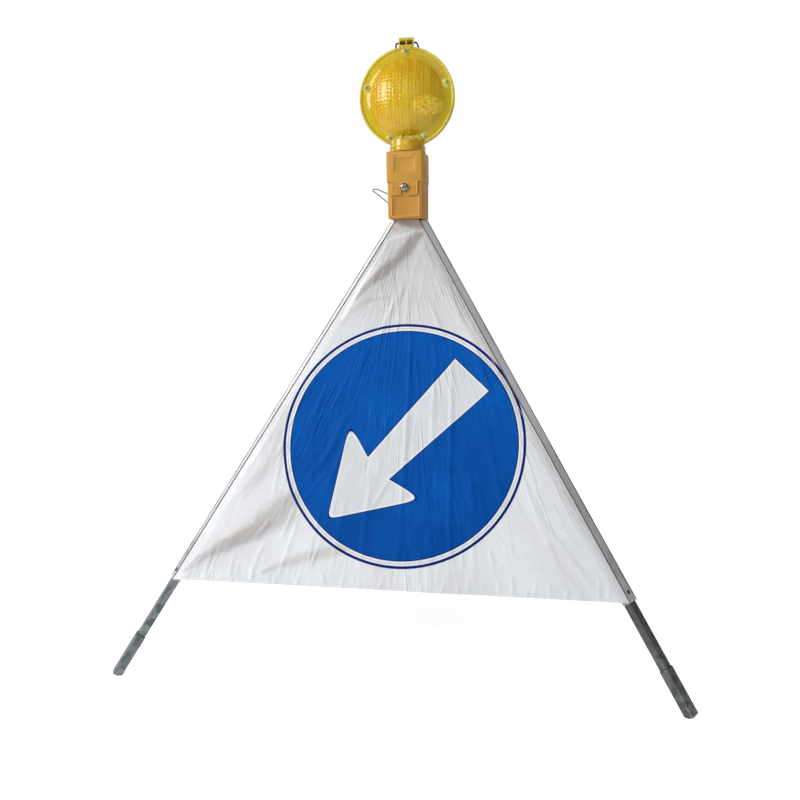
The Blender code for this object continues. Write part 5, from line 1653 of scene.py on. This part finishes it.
@dataclass
class LampBox:
    """The battery case and the housing over it: ribs, pads, lock bolt and bare label recess."""

    finishes: Finishes
    sunk: float = 0.0006  # how far a detail of the skirt reaches into it
    rib_height: float = 0.0272
    rib_width: float = 0.0017
    rib_proud: float = 0.0011
    rib_across: float = 0.0252
    step_across: float = 0.0172
    ring_inner: float = 0.0087
    ring_outer: float = 0.0106
    ring_proud: float = 0.0020
    rivet: float = 0.0014
    rivet_up: float = 0.0782
    bolt_head: float = 0.0080
    bolt_proud: float = 0.0062
    bolt_shank: float = 0.0030
    socket: float = 0.0033
    socket_deep: float = 0.0080
    label: tuple[float, float, float, float] = (0.0201, 0.0215, 0.0470, 0.0730)  # sides, ends
    panel_foot: float = 0.005
    case_rib: tuple[float, float, float] = (0.0285, 0.0013, 0.0022)  # across, half width, thick

    def build(self) -> list[Object]:
        """Build the details of the box."""
        _, self.bolt_high, self.bolt = ends("lock_bolt")
        self.case_low, self.case_high, _ = ends("battery_case")
        self.hood_low, self.hood_high, _ = ends("upper_housing")
        self.front = self.hood_low.y
        return [
            *self.skirt_ribs(),
            self.bolt_ring(),
            *self.recess_walls(),
            *self.rivets(),
            *self.case_ribs(),
            *self.pads(),
            self.lock_bolt(),
        ]

    def facing(self, x: float, y: float, z: float) -> Matrix:
        """A frame at a point of the front of the box."""
        return front_frame(Vector((x, y, z)))

    def moulded(
        self,
        piece: Object,
        body: str,
        place: Matrix,
        edge: float,
        finish: Material | None = None,
    ) -> Object:
        """Round, place and finish a moulded detail."""
        Bench.round_edges(piece, edge)
        Bench.settle(piece, place)
        return carry(piece, body, finish or self.finishes.case)

    def skirt_ribs(self) -> list[Object]:
        """The raised ribs down the skirt's two sides, with a painted highlight, and the low steps
        beside the lock bolt, with painted shade.
        """
        made = []
        sunk = self.sunk
        half, tall = self.rib_width / 2, self.rib_height / 2
        for side, word in SIDES:
            outline = rounded_box((-half, -tall), (half, tall), half * 0.8, 3)
            rib = Bench.slab("skirt_rib_" + word, outline, self.rib_proud + sunk)
            place = self.facing(side * self.rib_across, self.front + sunk, self.bolt.z - 0.0010)
            made.append(self.moulded(rib, "lamp_top", place, 0.0004, self.finishes.worn_case))
            outline = rounded_box((-0.0052, -0.0005), (0.0052, 0.0005), 0.0004, 2)
            step = Bench.slab("skirt_step_" + word, outline, 0.0004 + sunk)
            place = self.facing(side * self.step_across, self.front + sunk, self.bolt.z - 0.0006)
            made.append(self.moulded(step, "lamp_top", place, 0.00015, self.finishes.shade_case))
        return made

    def bolt_ring(self) -> Object:
        """The raised half ring over the lock bolt, with a painted highlight."""
        turns = [math.radians(180 * i / 20) for i in range(21)]
        outline = [(self.ring_outer * math.cos(t), self.ring_outer * math.sin(t)) for t in turns]
        turns.reverse()
        outline += [(self.ring_inner * math.cos(t), self.ring_inner * math.sin(t)) for t in turns]
        ring = Bench.slab("bolt_ring", outline, self.ring_proud)
        place = self.facing(self.bolt.x, self.front + self.sunk, self.bolt.z)
        return self.moulded(ring, "lamp_top", place, 0.0005, self.finishes.worn_case)

    def recess_walls(self) -> list[Object]:
        """The walls of the label recess and the case's panel: painted shade where light misses
        them, and a painted highlight on the label's right wall.
        """
        made = []
        shade, worn = self.finishes.shade_case, self.finishes.worn_case
        inner, outer, low, high = self.label
        low, high = self.hood_low.z + low, self.hood_low.z + high
        foot, head = self.case_low.z + self.panel_foot, self.hood_low.z - self.sunk
        hood, case = ("lamp_top", self.front), ("hub_frame", self.case_low.y)
        walls = (
            ("label_left", hood, (-outer, low), (-inner, high), shade),
            ("label_right", hood, (inner, low), (outer, high), worn),
            ("label_top", hood, (-0.0200, high - 0.0010), (0.0200, high), shade),
            ("panel_left", case, (-0.0258, foot), (-0.0226, head), shade),
            ("panel_shade", case, (-0.0220, head - 0.0030), (0.0258, head), shade),
        )
        for word, (body, front), (x0, z0), (x1, z1), finish in walls:
            wide, tall = (x1 - x0) / 2, (z1 - z0) / 2
            outline = rounded_box((-wide, -tall), (wide, tall), 0.0004, 2)
            wall = Bench.slab("wall_" + word, outline, 0.0007)
            place = self.facing((x0 + x1) / 2, front + 0.0010, (z0 + z1) / 2)
            made.append(self.moulded(wall, body, place, 0.0003, finish))
        return made

    def rivets(self) -> list[Object]:
        """The two small sunk rivets above the label recess."""
        made = []
        rim = 0.00035
        profile = [
            (0.0, -0.0002),
            (self.rivet * 0.62, -0.0002),
            (self.rivet * 0.75, rim * 0.8),
            (self.rivet * 0.90, rim),
            (self.rivet, rim * 0.3),
            (self.rivet, -0.0008),
            (0.0, -0.0008),
        ]
        for word, x in (("left", -0.0190), ("right", 0.0182)):
            place = self.facing(x, self.front, self.hood_low.z + self.rivet_up)
            name, finish = "label_rivet_" + word, self.finishes.rivet
            made.append(turned(name, profile, 20, place, "lamp_top", finish))
        return made

    def case_ribs(self) -> list[Object]:
        """The long half-round ribs beside the case's front panel and the lip under it, both with a
        painted highlight.
        """
        made = []
        tall = self.case_high.z - self.case_low.z
        low = self.case_low.z + 0.004
        high = low + tall * 0.60
        across, half, thick = self.case_rib
        front = self.case_low.y + 0.0013
        for side, word in SIDES:
            outline = rounded_box((-half, 0.0), (half, high - low), 0.0012, 4)
            rib = Bench.slab("case_rib_" + word, outline, thick)
            place = self.facing(side * across, front, low)
            made.append(self.moulded(rib, "hub_frame", place, 0.0009, self.finishes.worn_case))
        outline = rounded_box((-0.0270, -0.0009), (0.0270, 0.0009), 0.0008, 3)
        lip = Bench.slab("case_lip", outline, 0.0018)
        place = self.facing(0.0, front, low + 0.0006)
        made.append(self.moulded(lip, "hub_frame", place, 0.0006, self.finishes.worn_case))
        return made

    def pads(self) -> list[Object]:
        """The low pads on the housing's two sides."""
        made = []
        middle = (self.hood_low.y + self.hood_high.y) / 2
        half = (self.hood_high.x - self.hood_low.x) / 2
        for side, word, tall, z in ((-1, "left", 0.0090, 0.0300), (1, "right", 0.0290, 0.0470)):
            outline = rounded_box((-0.0150, -tall / 2), (0.0150, tall / 2), 0.0022, 4)
            pad = Bench.slab("housing_pad_" + word, outline, 0.0018)
            base = Vector((side * (half - 0.0007), middle, self.hood_low.z + z))
            place = axes_frame(Vector((0, side, 0)), Vector((0, 0, 1)), Vector((side, 0, 0)), base)
            made.append(self.moulded(pad, "lamp_top", place, 0.0006))
        return made

    def lock_bolt(self) -> Object:
        """The lock bolt with its domed head and six-sided socket."""
        seat = self.front - 0.0003
        head, dome = self.bolt_head, self.bolt_proud
        profile = [(0.0, dome)]
        for i in range(1, 9):
            turn = math.radians(9.0 * i)
            profile.append((head * math.sin(turn) * 0.985, dome * (0.45 + 0.55 * math.cos(turn))))
        shank, end = self.bolt_shank, self.bolt_high.y - seat
        profile += [(head, dome * 0.50), (head, 0.0004), (head - 0.0004, 0.0), (shank, 0.0)]
        profile += [(shank, -end), (0.0, -end)]
        bolt = Bench.lathe("lock_bolt_turned", profile, 40)
        Bench.clear()
        size = {"radius": self.socket, "depth": self.socket_deep}
        bpy.ops.mesh.primitive_cylinder_add(vertices=6, location=(0, 0, dome), **size)
        Bench.cut(bolt, Bench.take("hex_key"))
        Bench.round_edges(bolt, 0.00025)
        Bench.settle(bolt, self.facing(self.bolt.x, seat, self.bolt.z))
        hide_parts("lock_bolt")
        return carry(bolt, "lock_bolt", self.finishes.bright)


# ---------------------------------------------------------------- the lamp's head


@dataclass
class LampHead:
    """The swivelling head: prisms on both domes, rims, pads, screws and the collar's parts."""

    finishes: Finishes
    frame: dict
    radius: float = LENS_RADIUS
    dome_radius: float = 0.0775
    dome_height: float = 0.0320
    flange: float = 0.0045
    pitch: float = 0.0145
    row: float = 0.0072
    prism: float = 0.00085
    weak: float = 0.35
    quads: int = 192
    lip: float = 0.0052
    lip_height: float = 0.0015
    screw_head: float = 0.0032
    screw_turn: float = math.radians(37.0)  # how far each screw's slots turn from the last one's
    bead_up: float = 0.0082
    pin_up: float = 0.0165
    pin_turn: float = math.radians(-66.0)
    web_thick: float = 0.0034
    rib_thick: float = 0.0062
    rib_places: tuple[Spot, ...] = (  # each rib's place across, half width and top
        (-0.0300, 0.0030, 0.0125),
        (-0.0215, 0.0014, 0.0135),
        (-0.0110, 0.0020, 0.0195),
        (0.0010, 0.0050, 0.0100),
        (0.0125, 0.0012, 0.0165),
        (0.0175, 0.0014, 0.0165),
        (0.0270, 0.0034, 0.0125),
    )

    def build(self) -> list[Object]:
        """Build the details of the head."""
        high = ends("lens_front")[1]
        self.middle_y = high.y
        self.lens_z = high.z - self.radius
        made = []
        for word, side in HALVES:
            made.append(self.prisms(word, side))
            made.append(self.rim(word, side))
        made += self.screws()
        made += self.collar()
        return made

    def facing(self, side: float) -> Matrix:
        """A frame on the lens's middle, with z out of the front (-1) or the rear (1)."""
        centre = Vector((0, self.middle_y, self.lens_z))
        return axes_frame(Vector((-side, 0, 0)), Vector((0, 0, 1)), Vector((0, side, 0)), centre)

    def prisms(self, word: str, side: float) -> Object:
        """A dome's skin of small pillow prisms in upright columns, its edge sunk into the lens."""
        Bench.clear()
        count = self.quads
        bpy.ops.mesh.primitive_grid_add(x_subdivisions=count, y_subdivisions=count, size=2.0)
        skin = Bench.take("lens_prisms_" + word)
        mesh = skin.data
        flat = np.empty(len(mesh.vertices) * 3)
        mesh.vertices.foreach_get("co", flat)
        u, v = flat.reshape(-1, 3)[:, 0], flat.reshape(-1, 3)[:, 1]
        reach = np.maximum(np.abs(u), np.abs(v))
        length = np.maximum(np.hypot(u, v), 0.000001)
        x, z = u / length * reach * self.dome_radius, v / length * reach * self.dome_radius
        bulge = self.dome_height - self.flange
        sphere = (self.dome_radius**2 + bulge**2) / (2 * bulge)
        out = self.dome_height - sphere + np.sqrt(sphere**2 - (reach * self.dome_radius) ** 2)
        column = x / self.pitch - 0.5
        strong = np.abs(column - np.round(column)) < 0.25
        across = np.clip(0.5 + 1.1 * np.cos(4 * np.pi * column), 0.0, 1.0)
        across = across * across * (3 - 2 * across)
        along = 0.5 + 0.5 * np.cos(2 * np.pi * z / self.row)
        relief = self.prism * across * along * np.where(strong, 1.0, self.weak)
        fade = np.clip((0.97 - reach) / 0.05, 0.0, 1.0)
        sink = np.clip((reach - 0.965) / 0.035, 0.0, 1.0)
        out = out + 0.00012 + relief * fade - 0.0008 * sink
        mesh.vertices.foreach_set("co", np.stack((x, z, out), axis=1).astype(np.float32).ravel())
        mesh.update()
        if mesh.polygons[0].normal.z < 0:
            mesh.flip_normals()
        Bench.modify(skin, "SOLIDIFY", thickness=0.0008, offset=-1.0)
        Bench.smooth(skin, 60.0)
        Bench.settle(skin, self.facing(side))
        return carry(skin, "lamp_head", self.finishes.lens)

    def rim(self, word: str, side: float) -> Object:
        """The raised lip round a half's rim."""
        inner, outer = self.radius - self.lip, self.radius
        high, base = self.flange + self.lip_height, self.flange - 0.0012
        profile = [(inner, base), (inner, self.flange + 0.0003), (inner + 0.0006, high - 0.0003)]
        profile += [(inner + 0.0012, high), (outer - 0.0012, high), (outer - 0.0003, high - 0.0004)]
        profile += [(outer + 0.0002, high - 0.0012), (outer + 0.0002, base)]
        name, place = "lens_rim_" + word, self.facing(side)
        return turned(name, profile, 144, place, "lamp_head", self.finishes.rim)

    def screws(self) -> list[Object]:
        """A clear pad and a cross-slotted screw at each of the rim's fixings."""
        made = []
        whole = Bench.smooth(Bench.lathe("pad", self._boss(), 40), 45.0)
        screw = self._screw()
        for i in range(1, 6):
            node = f"lens_screw_{i}"
            low, _, middle = ends(node)
            outwards = (middle - Vector((0, middle.y, self.lens_z))).normalized()
            place = front_frame(Vector((middle.x, self.middle_y, middle.z)))
            inwards = Matrix.Translation(outwards * -0.0008)
            proud = Matrix.Translation((0, 0, self.flange - 0.0003))
            piece = Bench.copy(whole, f"screw_pad_{i}", inwards @ place @ proud)
            made.append(carry(piece, "lamp_head", self.finishes.pad))
            seat = Matrix.Rotation(self.screw_turn * i, 4, "Z")
            lift = Matrix.Translation((0, 0, self.middle_y - low.y - 0.0018))
            piece = Bench.copy(screw, f"rim_screw_{i}", place @ lift @ seat)
            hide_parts(node)
            made.append(carry(piece, "lamp_head", self.finishes.screw))
        for spare in (whole, screw):
            bpy.data.objects.remove(spare, do_unlink=True)
        return made

    @staticmethod
    def _boss() -> list[Point]:
        """The profile of the mound round a screw's seat."""
        top = [(0.0, -0.0003), (0.0, 0.0024), (0.0045, 0.0024), (0.0056, 0.0020), (0.0062, 0.0012)]
        return top + [(0.0070, 0.0009), (0.0084, 0.0008), (0.0090, 0.0005), (0.0091, -0.0003)]

    def _screw(self) -> Object:
        """A pan-headed screw with a cross slot, with its seat at z = 0."""
        head = self.screw_head
        profile = [(0.0, 0.0018), (head * 0.45, 0.0017), (head * 0.80, 0.0013)]
        profile += [(head * 0.96, 0.0007), (head, 0.0003), (head, 0.0), (0.0016, 0.0)]
        profile += [(0.0016, -0.0095), (0.0, -0.0095)]
        screw = Bench.lathe("screw", profile, 32)
        for turn in (0.0, math.pi / 2):
            Bench.clear()
            bpy.ops.mesh.primitive_cube_add(size=1.0, location=(0, 0, 0.0018))
            tool = Bench.take("slot")
            tool.scale = (head * 1.25, 0.0007, 0.0018)
            tool.rotation_euler = (0, 0, turn)
            Bench.settle(tool)
            Bench.cut(screw, tool)
        return Bench.round_edges(screw, 0.00012, 1)

    def collar(self) -> list[Object]:
        """The clear web between the collar and the rim, the collar's bead and its pin."""
        low, high, middle = ends("lens_collar")
        radius = (high.x - low.x) / 2
        foot = self.lens_z - self.radius
        made = [*self.ribs(foot), *self.windows()]
        bead = [(radius - 0.0016, -0.0012), (radius + 0.0003, -0.0012), (radius + 0.0009, -0.0004)]
        bead += [(radius + 0.0009, 0.0005), (radius + 0.0002, 0.0012), (radius - 0.0016, 0.0012)]
        place = Matrix.Translation((middle.x, middle.y, low.z + self.bead_up))
        finish = self.finishes.collar
        made.append(turned("collar_bead", bead, 72, place, "lamp_head", finish))
        pin = [(0.0, 0.0008), (0.0007, 0.0007), (0.0011, 0.0003), (0.0011, -0.0012), (0.0, -0.0012)]
        out = Vector((math.cos(self.pin_turn), math.sin(self.pin_turn), 0.0))
        base = Vector((middle.x, middle.y, low.z + self.pin_up)) + out * (radius - 0.0006)
        place = axes_frame(Vector((0, 0, 1)).cross(out), Vector((0, 0, 1)), out, base)
        finish = self.finishes.dark_steel
        made.append(turned("collar_pin", pin, 16, place, "lamp_head", finish))
        return made

    def ribs(self, foot: float) -> list[Object]:
        """The clear web over the collar on each side, with its stiffening ribs."""
        made = []
        low = [(-0.034, -0.008, 0.002), (0.034, -0.008, 0.002)]
        outline = rounded(low + [(0.0260, 0.0185, 0.004), (-0.0260, 0.0185, 0.004)], 4)
        up = Matrix.Translation((0, foot - self.lens_z + 0.0040, self.flange - 0.0004))
        for word, side in HALVES:
            parts = [Bench.round_edges(Bench.slab("web", outline, self.web_thick), 0.0010, 3)]
            for x, half, tall in self.rib_places:
                bar = rounded_box((x - half, -0.0070), (x + half, tall), half * 0.7, 3)
                parts.append(Bench.round_edges(Bench.slab("rib", bar, self.rib_thick), 0.0008, 3))
            web = Bench.gather("collar_web_" + word, parts)
            Bench.settle(web, self.facing(side) @ up)
            made.append(carry(web, "lamp_head", self.finishes.pad))
        return made

    def windows(self) -> list[Object]:
        """The tab's window backs, and the bail's ends seen in the windows."""
        hinge = Vector(joint_of(self.frame, "carrying_bail_swing")["pos_m"])
        made = []
        pin = [(0.0, 0.0), (0.0015, 0.0), (0.0017, 0.0002), (0.0017, 0.0100), (0.0015, 0.0102)]
        pin.append((0.0, 0.0102))
        for side, word in SIDES:
            x0, x1 = sorted((side * 0.0012, side * 0.0130))
            outline = rounded_box((x0, -0.0043), (x1, 0.0049), 0.0004, 2)
            plate = Bench.slab("tab_window_" + word, outline, 0.0012)
            Bench.settle(plate, front_frame(hinge + Vector((0, 0.0034, 0))))
            made.append(carry(plate, "lamp_head", self.finishes.lens))
            turn = axes_frame(Vector((0, 0, -side)), Vector((0, 1, 0)), Vector((side, 0, 0)), hinge)
            place, finish = turn @ Matrix.Translation((0, 0, 0.0020)), self.finishes.wire
            name = "bail_end_" + word
            made.append(turned(name, pin, 20, place, "carrying_bail", finish))
        return made


# ---------------------------------------------------------------- stage, light and camera


@dataclass
class Studio:
    """The pale floor, the soft lights and the camera at the photograph's place."""

    floor_size: float = 14.0
    floor_drop: float = 0.0005
    backdrop: Colour = (0.92, 0.92, 0.92)
    floor_glow: float = 0.72
    world_light: float = 0.36
    turn: float = math.radians(10.201)
    distance: float = 1.7829
    height: float = 0.7735
    pitch: float = math.radians(8.314)
    roll: float = math.radians(-0.815)
    sensor: float = 36.0
    lens: float = 37.39
    shift: float = -0.01566

    def build(self) -> None:
        """Build the floor, world, lamps and camera."""
        scene = bpy.context.scene
        scene.view_settings.view_transform = "Standard"
        self.floor()
        self.world(scene)
        centre = ends("centre_rod")[2]
        lamps = (
            ("key_light", (-3.05, -2.25, 2.5), (1.8, 2.2), 128.0),
            ("front_light", (-0.3, -4.6, 3.0), (3.2, 2.4), 30.0),
            ("side_light", (-3.2, 0.7, 1.9), (0.5, 2.4), 14.0),
            ("back_light", (0.6, 3.2, 2.8), (2.4, 2.4), 20.0),
        )
        for name, place, size, power in lamps:
            self.lamp(name, Vector(place), centre, size, power)
        self.camera(scene, centre)

    def floor(self) -> None:
        """A pale floor that shows white to the camera away from the object's shadow."""
        Bench.clear()
        bpy.ops.mesh.primitive_plane_add(size=self.floor_size, location=(0, 0, -self.floor_drop))
        floor = Bench.take("floor")
        recipe = Recipe("pale_floor")
        path = recipe.node("LightPath")
        seen = Term(recipe, path.outputs["Is Camera Ray"])
        for ray in ("Is Glossy Ray", "Is Transmission Ray"):
            seen = seen.larger(Term(recipe, path.outputs[ray]))
        recipe.finish(
            Base_Color=self.backdrop,
            Roughness=0.9,
            Emission_Color=(1.0, 1.0, 1.0),
            Emission_Strength=seen * self.floor_glow,
        )
        paint(floor, recipe.material)

    def world(self, scene: bpy.types.Scene) -> None:
        """A white world to the camera and a softer one as light."""
        world = bpy.data.worlds.new("studio")
        world.use_nodes = True
        scene.world = world
        tree = world.node_tree
        background = tree.nodes["Background"]
        path = tree.nodes.new("ShaderNodeLightPath")
        both = tree.nodes.new("ShaderNodeMath")
        both.operation = "MAXIMUM"
        tree.links.new(path.outputs["Is Camera Ray"], both.inputs[0])
        tree.links.new(path.outputs["Is Transmission Ray"], both.inputs[1])
        strength = tree.nodes.new("ShaderNodeMapRange")
        strength.inputs["To Min"].default_value = self.world_light
        strength.inputs["To Max"].default_value = 1.0
        tree.links.new(both.outputs[0], strength.inputs["Value"])
        tree.links.new(strength.outputs["Result"], background.inputs["Strength"])
        background.inputs["Color"].default_value = (1.0, 1.0, 1.0, 1.0)

    def lamp(self, name: str, place: Vector, target: Vector, size: Point, power: float) -> None:
        """An area lamp of a width and height that looks at a point."""
        Bench.clear()
        bpy.ops.object.light_add(type="AREA", location=place)
        lamp = bpy.context.active_object
        lamp.name = name
        lamp.data.shape = "RECTANGLE"
        lamp.data.size, lamp.data.size_y = size
        lamp.data.energy = power
        lamp.rotation_euler = (target - place).to_track_quat("-Z", "Y").to_euler()

    def camera(self, scene: bpy.types.Scene, centre: Vector) -> None:
        """The camera: level towards the tripod's axis, then pitched down and rolled."""
        s, c = math.sin(self.turn), math.cos(self.turn)
        place = Vector((self.distance * s, centre.y - self.distance * c, self.height))
        level, right, up = Vector((-s, c, 0.0)), Vector((c, s, 0.0)), Vector((0.0, 0.0, 1.0))
        ahead = level * math.cos(self.pitch) - up * math.sin(self.pitch)
        top = up * math.cos(self.pitch) + level * math.sin(self.pitch)
        rolled = right * math.cos(self.roll) + top * math.sin(self.roll)
        top = top * math.cos(self.roll) - right * math.sin(self.roll)
        Bench.clear()
        bpy.ops.object.camera_add(location=place)
        camera = bpy.context.active_object
        camera.name = "photo_camera"
        camera.matrix_world = axes_frame(rolled, top, -ahead, place)
        camera.data.sensor_width = self.sensor
        camera.data.lens = self.lens
        camera.data.shift_x = self.shift
        camera.data.clip_end = 60.0
        scene.camera = camera


# ---------------------------------------------------------------- the whole sign


def main() -> None:
    """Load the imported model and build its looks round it."""
    logging.basicConfig(level=logging.INFO, format="%(message)s")
    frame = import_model()
    finishes = Finishes()
    Studio().build()
    assemblies = (
        Steelwork(finishes, frame),
        Cover(finishes, frame),
        LampBox(finishes),
        LampHead(finishes, frame),
    )
    for assembly in assemblies:
        for piece in assembly.build():
            LOG.info("%s: %d faces", piece.name, len(piece.data.polygons))


if __name__ == "__main__":
    main()
